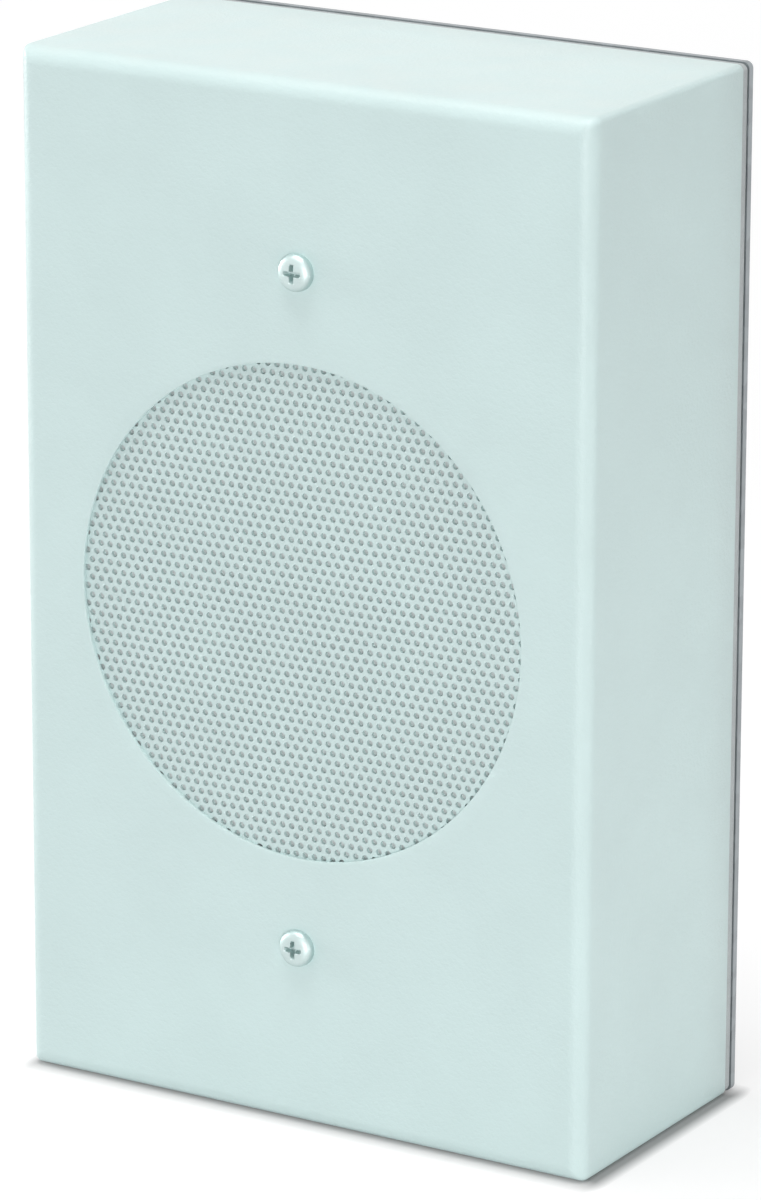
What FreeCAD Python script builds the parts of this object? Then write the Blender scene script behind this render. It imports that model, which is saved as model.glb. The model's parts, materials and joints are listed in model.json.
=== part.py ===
import FreeCAD, Part
import math
import os
from types import SimpleNamespace

import Sketcher

# Public address wall speaker: a folded steel cover on a flat back plate, a driver behind a round grille
# and a line transformer. Millimetres. X runs to the right of the front, Y runs into the wall and Z runs up.
# The origin is the centre of the back plate's rear face, which lies against the wall.

SIZES = (
    # Cabinet
    ("cabinet_width", 165.0),
    ("cabinet_height", 270.0),
    ("cabinet_depth", 80.0),
    ("cover_gauge", 1.2),
    ("bend_radius", 4.5),
    ("seam_radius", 1.8),
    ("least_radius", 0.3),
    ("plate_gauge", 2.0),
    ("seal_thickness", 3.0),
    ("seal_width", 9.0),
    ("seal_inset", 0.6),
    # Wall fixing and cable entry in the back plate
    ("fixing_pitch_across", 132.0),
    ("fixing_pitch_up", 232.0),
    ("fixing_hole", 5.5),
    ("entry_from_side", 36.5),
    ("entry_down", 50.0),
    ("entry_hole", 14.0),
    ("entry_bore", 9.0),
    ("grommet_flange", 20.0),
    ("grommet_lip", 2.0),
    # Screws and pillars that hold the cover
    ("screw_pitch", 175.0),
    ("screw_diameter", 5.0),
    ("screw_length", 16.0),
    ("screw_clearance", 0.5),
    ("head_diameter", 9.5),
    ("head_crown", 5.6),
    ("head_height", 3.0),
    ("head_rim", 1.0),
    ("recess_span", 5.0),
    ("recess_width", 1.3),
    ("recess_depth", 1.8),
    ("pillar_flats", 10.0),
    ("pillar_shank", 7.0),
    ("pillar_bore_depth", 20.0),
    ("fit_gap", 0.05),
    # Opening, grille and seat of the driver
    ("opening_diameter", 128.0),
    ("grille_width", 140.0),
    ("grille_corner", 10.0),
    ("grille_gauge", 1.0),
    ("hole_pitch", 9.0),
    ("hole_flats", 6.4),
    ("hole_border", 2.0),
    ("cloth_thickness", 0.4),
    ("gasket_width", 134.0),
    ("gasket_bore", 118.0),
    ("gasket_thickness", 3.0),
    ("stud_pitch", 104.0),
    ("stud_diameter", 4.0),
    ("stud_length", 13.0),
    ("stud_clearance", 0.5),
    ("nut_flats", 7.0),
    ("nut_height", 3.2),
    # Driver frame
    ("frame_width", 130.0),
    ("frame_corner", 16.0),
    ("frame_gauge", 1.0),
    ("mouth_diameter", 116.0),
    ("seat_depth", 3.0),
    ("seat_width", 5.0),
    ("spider_seat_depth", 24.5),
    ("spider_seat_diameter", 66.0),
    ("spider_seat_width", 5.0),
    ("throat_diameter", 52.0),
    ("frame_bore", 34.0),
    ("frame_depth", 34.0),
    ("window_angle", 66.0),
    ("window_margin", 3.5),
    ("tab_width", 10.0),
    ("tab_length", 14.0),
    # Cone, coil and suspension
    ("cone_diameter", 94.0),
    ("cone_rim_width", 3.0),
    ("cone_rim_depth", 5.5),
    ("cone_thickness", 0.6),
    ("neck_depth", 18.5),
    ("surround_thickness", 0.5),
    ("surround_rise", 2.0),
    ("surround_crest", 1.6),
    ("cap_diameter", 35.0),
    ("cap_rise", 6.0),
    ("cap_thickness", 0.5),
    ("former_bore", 25.5),
    ("former_wall", 0.25),
    ("former_length", 23.0),
    ("former_lead", 1.0),
    ("winding_wall", 0.5),
    ("winding_length", 7.0),
    ("spider_collar", 2.0),
    ("spider_pleat", 0.6),
    ("spider_thickness", 0.5),
    ("glue_gap", 0.3),
    # Magnet system
    ("pole_diameter", 24.9),
    ("gap_bore", 28.0),
    ("iron_diameter", 62.0),
    ("top_plate_thickness", 5.0),
    ("magnet_diameter", 72.0),
    ("magnet_bore", 34.0),
    ("magnet_thickness", 12.0),
    ("yoke_thickness", 5.0),
    # Terminal strip of the driver
    ("strip_width", 22.0),
    ("strip_height", 10.0),
    ("strip_thickness", 1.6),
    ("lug_pitch", 17.0),
    ("lug_width", 3.0),
    ("lug_length", 12.5),
    ("lug_thickness", 0.6),
    ("lug_overhang", 3.5),
    ("rivet_diameter", 3.0),
    # Line transformer
    ("transformer_margin", 1.5),
    ("transformer_down", 70.0),
    ("core_width", 48.0),
    ("core_height", 40.0),
    ("core_stack", 16.0),
    ("core_leg", 16.0),
    ("core_gap", 0.4),
    ("bobbin_wall", 1.0),
    ("bobbin_reach", 7.5),
    ("coil_margin", 1.0),
    ("coil_corner", 3.0),
    ("strap_gauge", 1.0),
    ("strap_foot", 11.0),
    ("foot_hole_inset", 5.5),
    ("fixing_stud_length", 12.0),
    # Terminal block
    ("block_from_side", 40.5),
    ("block_down", 85.0),
    ("block_base", 7.0),
    ("block_height", 17.0),
    ("block_depth", 18.0),
    ("pole_pitch", 15.0),
    ("pole_width", 10.0),
    ("insert_width", 5.0),
    ("insert_gap", 0.2),
    ("insert_height", 8.0),
    ("wire_bore", 3.2),
    ("clamp_screw", 2.6),
    ("clamp_length", 7.0),
    ("clamp_pitch", 9.0),
    ("block_screw", 3.0),
    ("block_screw_head", 4.6),
    ("block_screw_head_height", 2.0),
    # Earth terminal and leads
    ("earth_from_side", 58.5),
    ("earth_down", 64.0),
    ("lead_diameter", 1.6),
    ("lead_pitch", 6.0),
    ("lead_stub", 6.0),
    ("lead_sag", 5.0),
    ("lead_drop", 4.0),
    ("lead_entry", 7.0),
    ("tinsel_diameter", 1.0),
    ("tinsel_loop", 4.0),
    ("tinsel_rise", 10.0),
    ("tinsel_joint_across", 6.0),
    ("tinsel_joint_down", 21.0),
)

# A point counts as being on a line within this distance, and a tube's volume as right within this share.
NEARLY = 1e-6
VOLUME_SHARE = 0.01
# Share of the shorter of two runs of a lead that the arc between them takes up.
ARC_SHARE = 0.45


class Size:
    """A length as a number, together with the expression of the sheet that gives it."""

    def __init__(self, number, text):
        self.number = number
        self.text = text

    @staticmethod
    def of(other):
        if isinstance(other, Size):
            return other
        return Size(float(other), f"({float(other)!r})")

    def __add__(self, other):
        other = Size.of(other)
        return Size(self.number + other.number, f"({self.text} + {other.text})")

    def __radd__(self, other):
        return Size.of(other) + self

    def __sub__(self, other):
        other = Size.of(other)
        return Size(self.number - other.number, f"({self.text} - {other.text})")

    def __rsub__(self, other):
        return Size.of(other) - self

    def __mul__(self, other):
        other = Size.of(other)
        return Size(self.number * other.number, f"({self.text} * {other.text})")

    def __rmul__(self, other):
        return Size.of(other) * self

    def __truediv__(self, other):
        other = Size.of(other)
        return Size(self.number / other.number, f"({self.text} / {other.text})")

    def __neg__(self):
        return self * -1.0


def at_least(length, floor):
    """The length, or the floor where that is more."""
    return Size(max(length.number, floor.number), f"max({length.text}; {floor.text})")


def arcsine(ratio):
    """The angle in degrees whose sine is the given ratio."""
    return Size(math.degrees(math.asin(ratio.number)), f"asin({ratio.text})")


doc = FreeCAD.newDocument("wall_speaker")
sheet = doc.addObject("Spreadsheet::Sheet", "sizes")
for row, (name, number) in enumerate(SIZES, start=1):
    sheet.set(f"A{row}", name)
    sheet.set(f"B{row}", str(number))
    sheet.setAlias(f"B{row}", name)
doc.recompute()
dim = SimpleNamespace(**{name: Size(number, f"sizes.{name}") for name, number in SIZES})
pieces = []

ACROSS = FreeCAD.Vector(1, 0, 0)
UPRIGHT = FreeCAD.Rotation()
INTO_WALL = FreeCAD.Rotation(ACROSS, -90)
OUT_OF_WALL = FreeCAD.Rotation(ACROSS, 90)


# Tools for drawing

def bind(item, path, length):
    """Tie a property of an object to the sheet."""
    item.setExpression(path, Size.of(length).text)


def body_at(label, ahead, across=0.0, up=0.0, listed=True):
    """Start a body whose own XZ plane stands the given distance ahead of the wall."""
    body = doc.addObject("PartDesign::Body", label)
    bind(body, "Placement.Base.x", across)
    bind(body, "Placement.Base.y", -Size.of(ahead))
    bind(body, "Placement.Base.z", up)
    if listed:
        pieces.append(body)
    return body


def datum(body, role):
    """One of the body's own origin planes or axes."""
    return next(item for item in body.Origin.OriginFeatures if item.Role == role)


def sketch_on(body, role="XZ_Plane", offset=0.0):
    """An empty sketch on a plane of the body; an offset on the XZ plane counts towards the front."""
    sketch = body.newObject("Sketcher::SketchObject", f"{body.Name}_sketch")
    sketch.AttachmentSupport = [(datum(body, role), "")]
    sketch.MapMode = "FlatFace"
    bind(sketch, "AttachmentOffset.Base.z", offset)
    return sketch


def fix_point(sketch, geometry, point, across, up):
    """Hold one point of a sketch at two distances from its origin."""
    for kind, length in (("DistanceX", across), ("DistanceY", up)):
        length = Size.of(length)
        index = sketch.addConstraint(Sketcher.Constraint(kind, -1, 1, geometry, point, length.number))
        bind(sketch, f"Constraints[{index}]", length)


def draw_polygon(sketch, corners):
    """Draw a closed outline through corners given as pairs of sizes."""
    corners = [(Size.of(across), Size.of(up)) for across, up in corners]
    points = [FreeCAD.Vector(across.number, up.number, 0) for across, up in corners]
    first = sketch.GeometryCount
    count = len(points)
    for here in range(count):
        sketch.addGeometry(Part.LineSegment(points[here], points[(here + 1) % count]), False)
    for here in range(count):
        following = first + (here + 1) % count
        sketch.addConstraint(Sketcher.Constraint("Coincident", first + here, 2, following, 1))
    for here, (across, up) in enumerate(corners):
        fix_point(sketch, first + here, 1, across, up)


def draw_rectangle(sketch, width, height, across=0.0, up=0.0):
    """Draw a rectangle about a centre."""
    left, right = across - width / 2, across + width / 2
    low, high = up - height / 2, up + height / 2
    draw_polygon(sketch, [(left, low), (right, low), (right, high), (left, high)])


def draw_circle(sketch, diameter, across=0.0, up=0.0):
    """Draw a circle about a centre."""
    across, up, radius = Size.of(across), Size.of(up), diameter / 2
    centre = FreeCAD.Vector(across.number, up.number, 0)
    geometry = sketch.addGeometry(Part.Circle(centre, FreeCAD.Vector(0, 0, 1), radius.number), False)
    fix_point(sketch, geometry, 3, across, up)
    index = sketch.addConstraint(Sketcher.Constraint("Radius", geometry, radius.number))
    bind(sketch, f"Constraints[{index}]", radius)


def hexagon(flats, across=0.0, up=0.0):
    """Corners of a hexagon that has two upright flats."""
    reach = flats / math.sqrt(3)
    turns = [math.radians(30 + 60 * corner) for corner in range(6)]
    return [(across + reach * math.cos(turn), up + reach * math.sin(turn)) for turn in turns]


def corners_of_square(pitch):
    """The four points of a square pattern."""
    return [(pitch / 2 * side, pitch / 2 * level) for side in (-1, 1) for level in (-1, 1)]


def pad(body, sketch, length):
    """Raise a sketch of the XZ plane towards the wall."""
    feature = body.newObject("PartDesign::Pad", f"{body.Name}_pad")
    feature.Profile = sketch
    feature.Reversed = True
    bind(feature, "Length", length)
    return feature


def pad_both_ways(body, sketch, length):
    """Raise a sketch by half a length to each side of its plane."""
    feature = body.newObject("PartDesign::Pad", f"{body.Name}_pad")
    feature.Profile = sketch
    feature.SideType = "Symmetric"
    bind(feature, "Length", length)
    return feature


def cut(body, sketch, length=None):
    """Cut a sketch of the XZ plane towards the wall, right through where no length is given."""
    feature = body.newObject("PartDesign::Pocket", f"{body.Name}_cut")
    feature.Profile = sketch
    if length is None:
        feature.Type = "ThroughAll"
    else:
        bind(feature, "Length", length)
    return feature


def revolve(body, profile):
    """Turn a profile of radii and depths about the body's Y axis."""
    sketch = sketch_on(body, "XY_Plane")
    draw_polygon(sketch, profile)
    feature = body.newObject("PartDesign::Revolution", f"{body.Name}_turning")
    feature.Profile = sketch
    feature.ReferenceAxis = (sketch, ["V_Axis"])
    return feature


def round_edges(body, base, radius, chosen):
    """Round the edges of a feature that a test picks out."""
    doc.recompute()
    names = [f"Edge{index}" for index, edge in enumerate(base.Shape.Edges, start=1) if chosen(edge)]
    feature = body.newObject("PartDesign::Fillet", f"{body.Name}_rounding")
    feature.Base = (base, names)
    bind(feature, "Radius", radius)
    return feature


def runs_along_depth(edge):
    """Whether a straight edge runs from front to back."""
    step = edge.Vertexes[-1].Point - edge.Vertexes[0].Point
    return abs(step.x) < NEARLY and abs(step.z) < NEARLY and abs(step.y) > NEARLY


def lies_at_depth(depth):
    """A test for edges that lie wholly at one depth of the body."""
    return lambda edge: all(abs(vertex.Point.y - depth) < NEARLY for vertex in edge.Vertexes)


def place(item, ahead, across, up, facing):
    """Put a primitive at its place with its length facing the given way."""
    item.Placement = FreeCAD.Placement(FreeCAD.Vector(), facing)
    bind(item, "Placement.Base.x", across)
    bind(item, "Placement.Base.y", -Size.of(ahead))
    bind(item, "Placement.Base.z", up)
    return item


def rod(diameter, length, ahead, across=0.0, up=0.0):
    """A cylinder that runs from a front plane towards the wall."""
    item = doc.addObject("Part::Cylinder", "rod")
    bind(item, "Radius", diameter / 2)
    bind(item, "Height", length)
    return place(item, ahead, across, up, INTO_WALL)


def upright_rod(diameter, length, ahead, across, low):
    """A cylinder that runs up from its lower end."""
    item = doc.addObject("Part::Cylinder", "upright_rod")
    bind(item, "Radius", diameter / 2)
    bind(item, "Height", length)
    return place(item, ahead, across, low, UPRIGHT)


def block(width, depth, height, ahead, across=0.0, up=0.0):
    """A box about a centre line that runs from a front plane towards the wall."""
    item = doc.addObject("Part::Box", "block")
    bind(item, "Length", width)
    bind(item, "Width", depth)
    bind(item, "Height", height)
    return place(item, ahead, across - width / 2, up - height / 2, UPRIGHT)


def difference(base, *tools):
    """The base with each tool taken away."""
    for tool in tools:
        result = doc.addObject("Part::Cut", "difference")
        result.Base = base
        result.Tool = tool
        base = result
    return base


def hexagon_prism(reach, length, ahead, across, up):
    """A hexagon prism with two upright flats that runs from a front plane towards the wall."""
    item = doc.addObject("Part::Prism", "hexagon_prism")
    item.Polygon = 6
    bind(item, "Circumradius", reach)
    bind(item, "Height", length)
    return place(item, ahead, across, up, INTO_WALL * FreeCAD.Rotation(FreeCAD.Vector(0, 0, 1), 30))


def nut(ahead, across, up):
    """A hexagon nut whose front face stands the given distance ahead of the wall."""
    item = hexagon_prism(dim.nut_flats / math.sqrt(3), dim.nut_height, ahead, across, up)
    return difference(item, rod(dim.stud_diameter + 2 * dim.fit_gap, dim.nut_height, ahead, across, up))


def group(label, items):
    """Like pieces that share one name."""
    result = doc.addObject("Part::Compound", label)
    result.Links = items
    pieces.append(result)
    return result


def named(label, item):
    """Give a primitive or a cut its name as a piece."""
    item.Label = label
    pieces.append(item)
    return item


# Distances ahead of the wall

cover_back = dim.plate_gauge + dim.seal_thickness
cover_inside = dim.cabinet_depth - dim.cover_gauge
grille_back = cover_inside - dim.grille_gauge
cloth_back = grille_back - dim.cloth_thickness
frame_front = cloth_back - dim.gasket_thickness

# Places across the cabinet, counted from its middle. The transformer's foot clears the seal on the left.

stud_hole = dim.stud_diameter + dim.stud_clearance
half_width = dim.cabinet_width / 2
entry_across = half_width - dim.entry_from_side
block_across = half_width - dim.block_from_side
earth_across = half_width - dim.earth_from_side
foot_reach = dim.core_width / 2 + dim.core_gap + dim.strap_gauge + dim.strap_foot
transformer_across = dim.transformer_margin + dim.seal_width + dim.seal_inset + foot_reach - half_width


# Cabinet

def make_rounded_box(label, ahead, width, height, depth, seam, bend):
    """A box with round upright seams and a larger rounding along the edges of its front."""
    body = body_at(label, ahead, listed=False)
    outline = sketch_on(body)
    draw_rectangle(outline, width, height)
    seams = round_edges(body, pad(body, outline, depth), seam, runs_along_depth)
    round_edges(body, seams, bend, lies_at_depth(0.0))
    return body


def make_front_cover():
    """One folded sheet: front, four sides, a round opening and two screw holes."""
    gauge = dim.cover_gauge
    depth = dim.cabinet_depth - cover_back
    width, height = dim.cabinet_width, dim.cabinet_height
    outside = make_rounded_box(
        "cover_outside", dim.cabinet_depth, width, height, depth, dim.seam_radius, dim.bend_radius
    )
    inner_seam = at_least(dim.seam_radius - gauge, dim.least_radius)
    inner_bend = at_least(dim.bend_radius - gauge, dim.least_radius)
    width, height, depth = width - 2 * gauge, height - 2 * gauge, depth - gauge
    inside = make_rounded_box("cover_hollow", cover_inside, width, height, depth, inner_seam, inner_bend)
    holes = [rod(dim.opening_diameter, gauge, dim.cabinet_depth)]
    for level in (-1, 1):
        hole = dim.screw_diameter + dim.screw_clearance
        holes.append(rod(hole, gauge, dim.cabinet_depth, 0.0, dim.screw_pitch / 2 * level))
    named("front_cover", difference(outside, inside, *holes))


def make_rear_seal():
    """A foam frame that the cover's rear edge beds on."""
    body = body_at("rear_seal", cover_back)
    outline = sketch_on(body)
    width = dim.cabinet_width - 2 * dim.seal_inset
    height = dim.cabinet_height - 2 * dim.seal_inset
    draw_rectangle(outline, width, height)
    round_edges(body, pad(body, outline, dim.seal_thickness), dim.seam_radius, runs_along_depth)
    hollow = sketch_on(body)
    draw_rectangle(hollow, width - 2 * dim.seal_width, height - 2 * dim.seal_width)
    cut(body, hollow)


def make_back_plate():
    """A flat plate with the wall holes, the cable hole and the holes of what is pressed into it."""
    body = body_at("back_plate", dim.plate_gauge)
    outline = sketch_on(body)
    draw_rectangle(outline, dim.cabinet_width, dim.cabinet_height)
    round_edges(body, pad(body, outline, dim.plate_gauge), dim.seam_radius, runs_along_depth)
    holes = sketch_on(body)
    for side in (-1, 1):
        for level in (-1, 1):
            place_x, place_z = dim.fixing_pitch_across / 2 * side, dim.fixing_pitch_up / 2 * level
            draw_circle(holes, dim.fixing_hole, place_x, place_z)
    draw_circle(holes, dim.entry_hole, entry_across, -dim.entry_down)
    for level in (-1, 1):
        draw_circle(holes, dim.pillar_shank + 2 * dim.fit_gap, 0.0, dim.screw_pitch / 2 * level)
    pressed = dim.stud_diameter + 2 * dim.fit_gap
    for across in transformer_feet():
        draw_circle(holes, pressed, across, -dim.transformer_down)
    draw_circle(holes, pressed, earth_across, -dim.earth_down)
    for side in (-1, 1):
        across = block_across + dim.pole_pitch / 2 * side
        draw_circle(holes, dim.block_screw + 2 * dim.fit_gap, across, -dim.block_down)
    cut(body, holes)


def make_cable_grommet():
    """A soft bush in the back plate, flush with the wall."""
    body = body_at("cable_grommet", dim.plate_gauge, entry_across, -dim.entry_down)
    bore, waist = dim.entry_bore / 2, dim.entry_hole / 2 - dim.fit_gap
    flange, lip = dim.grommet_flange / 2, dim.grommet_lip
    profile = [(bore, -lip), (flange, -lip), (flange, 0), (waist, 0)]
    profile += [(waist, dim.plate_gauge), (bore, dim.plate_gauge)]
    revolve(body, profile)


def make_pillar(label, level):
    """A hexagon pillar pressed into the back plate, with a tapped bore for a cover screw."""
    body = body_at(label, cover_inside, 0.0, dim.screw_pitch / 2 * level)
    length = cover_inside - dim.plate_gauge
    prism = sketch_on(body)
    draw_polygon(prism, hexagon(dim.pillar_flats))
    pad(body, prism, length)
    shank = sketch_on(body, offset=-length)
    draw_circle(shank, dim.pillar_shank)
    pad(body, shank, dim.plate_gauge)
    bore = sketch_on(body)
    draw_circle(bore, dim.screw_diameter + 2 * dim.fit_gap)
    cut(body, bore, dim.pillar_bore_depth)


def make_cover_screw(label, level):
    """A screw with a low round head and a cross recess."""
    body = body_at(label, dim.cabinet_depth, 0.0, dim.screw_pitch / 2 * level)
    head, crown, top = dim.head_diameter / 2, dim.head_crown / 2, dim.head_height
    shank = dim.screw_diameter / 2
    profile = [(0, -top), (crown, -top), (head, -dim.head_rim), (head, 0), (shank, 0)]
    profile += [(shank, dim.screw_length), (0, dim.screw_length)]
    revolve(body, profile)
    recess = sketch_on(body, offset=top)
    arm, half = dim.recess_span / 2, dim.recess_width / 2
    quarter = [(arm, -half), (arm, half), (half, half)]
    corners = []
    for turn in range(4):
        corners += quarter
        quarter = [(-up, across) for across, up in quarter]
    draw_polygon(recess, corners)
    cut(body, recess, dim.recess_depth)


# Grille and the sheets behind it

def make_square_sheet(label, ahead, width, corner, thickness, listed=True):
    """A square sheet with round corners and a hole at each driver stud."""
    body = body_at(label, ahead, listed=listed)
    outline = sketch_on(body)
    draw_rectangle(outline, width, width)
    round_edges(body, pad(body, outline, thickness), corner, runs_along_depth)
    holes = sketch_on(body)
    for across, up in corners_of_square(dim.stud_pitch):
        draw_circle(holes, stud_hole, across, up)
    cut(body, holes)
    return body


def make_grille_disc():
    """The grille: staggered rows of hexagon holes inside the round opening."""
    gauge = dim.grille_gauge
    sheet_metal = make_square_sheet(
        "grille_sheet", cover_inside, dim.grille_width, dim.grille_corner, gauge, listed=False
    )
    row_pitch = dim.hole_pitch * math.sqrt(3) / 2
    hole_reach = dim.hole_flats / math.sqrt(3)
    reach = dim.opening_diameter.number / 2 - dim.hole_border.number - hole_reach.number
    rows = int(reach / row_pitch.number)
    punches = []
    for row in range(-rows, rows + 1):
        half_row = math.sqrt(reach ** 2 - (row * row_pitch.number) ** 2) / dim.hole_pitch.number
        shift = 0.5 if row % 2 else 0.0
        each_side = int(half_row - shift)
        for step in range(round(2 * (each_side + shift)) + 1):
            across = dim.hole_pitch * (step - each_side - shift)
            punches.append(hexagon_prism(hole_reach, gauge, cover_inside, across, row_pitch * row))
    punch_set = doc.addObject("Part::Compound", "grille_punches")
    punch_set.Links = punches
    named("grille_disc", difference(sheet_metal, punch_set))


def make_driver_seat():
    """Dust cloth, gasket, and the welded studs and nuts that hold the driver."""
    make_square_sheet("dust_cloth", grille_back, dim.grille_width, dim.grille_corner, dim.cloth_thickness)
    gasket = make_square_sheet(
        "baffle_gasket", cloth_back, dim.gasket_width, dim.frame_corner, dim.gasket_thickness
    )
    bore = sketch_on(gasket)
    draw_circle(bore, dim.gasket_bore)
    cut(gasket, bore)
    points = corners_of_square(dim.stud_pitch)
    group("driver_studs", [rod(dim.stud_diameter, dim.stud_length, cover_inside, *point) for point in points])
    group("driver_nuts", [nut(frame_front - dim.frame_gauge, *point) for point in points])


# Driver. Depths count from the front of its frame.

seat_inner = dim.mouth_diameter / 2 - dim.seat_width
spider_outer = dim.spider_seat_diameter / 2
spider_inner = spider_outer - dim.spider_seat_width
cone_rim = dim.cone_diameter / 2
cone_inner_rim = cone_rim - dim.cone_rim_width
former_outer = dim.former_bore / 2 + dim.former_wall
cone_neck = former_outer + dim.fit_gap
tab_low = -(spider_outer + dim.tab_length)
strip_middle = tab_low + dim.strip_height / 2
strip_back = dim.spider_seat_depth + dim.frame_gauge + dim.strip_thickness


def make_driver_basket():
    """A pressed frame: square flange, bowl with four windows, seats for the suspension and a tab."""
    body = body_at("driver_basket", frame_front)
    gauge = dim.frame_gauge
    flange = sketch_on(body)
    draw_rectangle(flange, dim.frame_width, dim.frame_width)
    round_edges(body, pad(body, flange, gauge), dim.frame_corner, runs_along_depth)
    mouth = dim.mouth_diameter / 2
    opening = sketch_on(body)
    draw_circle(opening, dim.mouth_diameter)
    for across, up in corners_of_square(dim.stud_pitch):
        draw_circle(opening, stud_hole, across, up)
    cut(body, opening)
    throat, bore, floor = dim.throat_diameter / 2, dim.frame_bore / 2, dim.frame_depth - gauge
    seat, spider_seat = dim.seat_depth, dim.spider_seat_depth
    front = [(mouth, 0), (mouth, seat), (seat_inner, seat), (spider_outer, spider_seat)]
    front += [(spider_inner, spider_seat), (throat, floor), (bore, floor)]
    back = [(bore, dim.frame_depth), (throat + gauge, dim.frame_depth)]
    back += [(spider_inner + gauge, spider_seat + gauge), (spider_outer + gauge, spider_seat + gauge)]
    back += [(seat_inner + gauge, seat + gauge), (mouth + gauge, seat + gauge), (mouth + gauge, 0)]
    revolve(body, front + back)
    window = sketch_on(body, "XY_Plane")
    inner, outer = spider_outer + dim.window_margin, seat_inner - dim.window_margin
    draw_polygon(window, [(inner, 0), (outer, 0), (outer, floor), (inner, floor)])
    groove = body.newObject("PartDesign::Groove", "basket_window")
    groove.Profile = window
    groove.ReferenceAxis = (window, ["V_Axis"])
    groove.Midplane = True
    bind(groove, "Angle", dim.window_angle)
    pattern = body.newObject("PartDesign::PolarPattern", "basket_windows")
    pattern.Originals = [groove]
    pattern.Axis = (datum(body, "Y_Axis"), [""])
    pattern.Occurrences = 4
    body.Tip = pattern
    tab = sketch_on(body, offset=-spider_seat)
    tab_height = dim.tab_length + dim.spider_seat_width / 2
    draw_rectangle(tab, dim.tab_width, tab_height, 0.0, tab_low + tab_height / 2)
    pad(body, tab, gauge)
    rivet = sketch_on(body, offset=-spider_seat)
    draw_circle(rivet, dim.rivet_diameter + 2 * dim.fit_gap, 0.0, strip_middle)
    cut(body, rivet)


def make_sheet_ring(label, fronts, thickness):
    """A ring of thin sheet: the front line of its section and a thickness behind it."""
    body = body_at(label, frame_front)
    backs = [(radius, depth + thickness) for radius, depth in reversed(fronts)]
    revolve(body, fronts + backs)


def make_surround():
    """The pleated cloth edge between the frame's seat and the cone's rim."""
    seat_line = dim.seat_depth - dim.surround_thickness
    rim_line = dim.cone_rim_depth - dim.surround_thickness
    crest_line = seat_line - dim.surround_rise
    middle = (seat_inner + cone_rim) / 2
    half = dim.surround_crest / 2
    fronts = [(dim.mouth_diameter / 2 - dim.glue_gap, seat_line), (seat_inner, seat_line)]
    fronts += [(middle + half, crest_line), (middle - half, crest_line)]
    fronts += [(cone_rim, rim_line), (cone_inner_rim, rim_line)]
    make_sheet_ring("surround", fronts, dim.surround_thickness)


def make_spider():
    """The pleated disc that centres the coil, stepped down from its seat to its collar."""
    collar_line = dim.neck_depth + dim.cone_thickness + dim.glue_gap
    seat_line = dim.spider_seat_depth - dim.spider_thickness
    inner = former_outer + dim.glue_gap
    start = inner + dim.spider_collar
    steps = 6
    fronts = [(inner, collar_line), (start, collar_line)]
    for step in range(1, steps):
        share = step / steps
        ripple = dim.spider_pleat * (1 if step % 2 else -1)
        radius = start + (spider_inner - start) * share
        fronts.append((radius, collar_line + (seat_line - collar_line) * share + ripple))
    fronts += [(spider_inner, seat_line), (spider_outer - dim.glue_gap, seat_line)]
    make_sheet_ring("spider", fronts, dim.spider_thickness)


def make_cone():
    """The paper cone: a flat rim and a straight flare down to its neck."""
    rim = dim.cone_rim_depth
    fronts = [(cone_rim, rim), (cone_inner_rim, rim), (cone_neck, dim.neck_depth)]
    make_sheet_ring("cone", fronts, dim.cone_thickness)


def make_dust_cap():
    """A thin dome on the cone's front."""
    half = dim.cap_diameter / 2
    radius = (half * half + dim.cap_rise * dim.cap_rise) / (2 * dim.cap_rise)
    flare = (dim.neck_depth - dim.cone_rim_depth) / (cone_inner_rim - cone_neck)
    rim_depth = dim.cone_rim_depth + flare * (cone_inner_rim - half) - dim.fit_gap
    centre = frame_front - rim_depth + dim.cap_rise - radius
    domes = []
    for name, reach in (("cap_outside", radius), ("cap_inside", radius - dim.cap_thickness)):
        dome = doc.addObject("Part::Sphere", name)
        bind(dome, "Radius", reach)
        domes.append(place(dome, centre, 0.0, 0.0, OUT_OF_WALL))
    bind(domes[0], "Angle1", arcsine((radius - dim.cap_rise) / radius))
    named("dust_cap", difference(*domes))


def make_ring(label, inner, outer, front, thickness):
    """A plain ring."""
    body = body_at(label, frame_front)
    back = front + thickness
    revolve(body, [(inner, front), (outer, front), (outer, back), (inner, back)])


def make_motor():
    """Coil, top plate, magnet and yoke."""
    plate_front = dim.frame_depth
    magnet_front = plate_front + dim.top_plate_thickness
    yoke_front = magnet_front + dim.magnet_thickness
    former_front = dim.neck_depth - dim.former_lead
    make_ring("coil_former", dim.former_bore / 2, former_outer, former_front, dim.former_length)
    coil_inner = former_outer + dim.fit_gap
    coil_front = plate_front + dim.top_plate_thickness / 2 - dim.winding_length / 2
    make_ring("coil_winding", coil_inner, coil_inner + dim.winding_wall, coil_front, dim.winding_length)
    iron = dim.iron_diameter / 2
    make_ring("top_plate", dim.gap_bore / 2, iron, plate_front, dim.top_plate_thickness)
    make_ring("magnet_ring", dim.magnet_bore / 2, dim.magnet_diameter / 2, magnet_front, dim.magnet_thickness)
    body = body_at("yoke", frame_front)
    pole, back = dim.pole_diameter / 2, yoke_front + dim.yoke_thickness
    profile = [(0, plate_front), (pole, plate_front), (pole, yoke_front)]
    profile += [(iron, yoke_front), (iron, back), (0, back)]
    revolve(body, profile)


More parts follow.
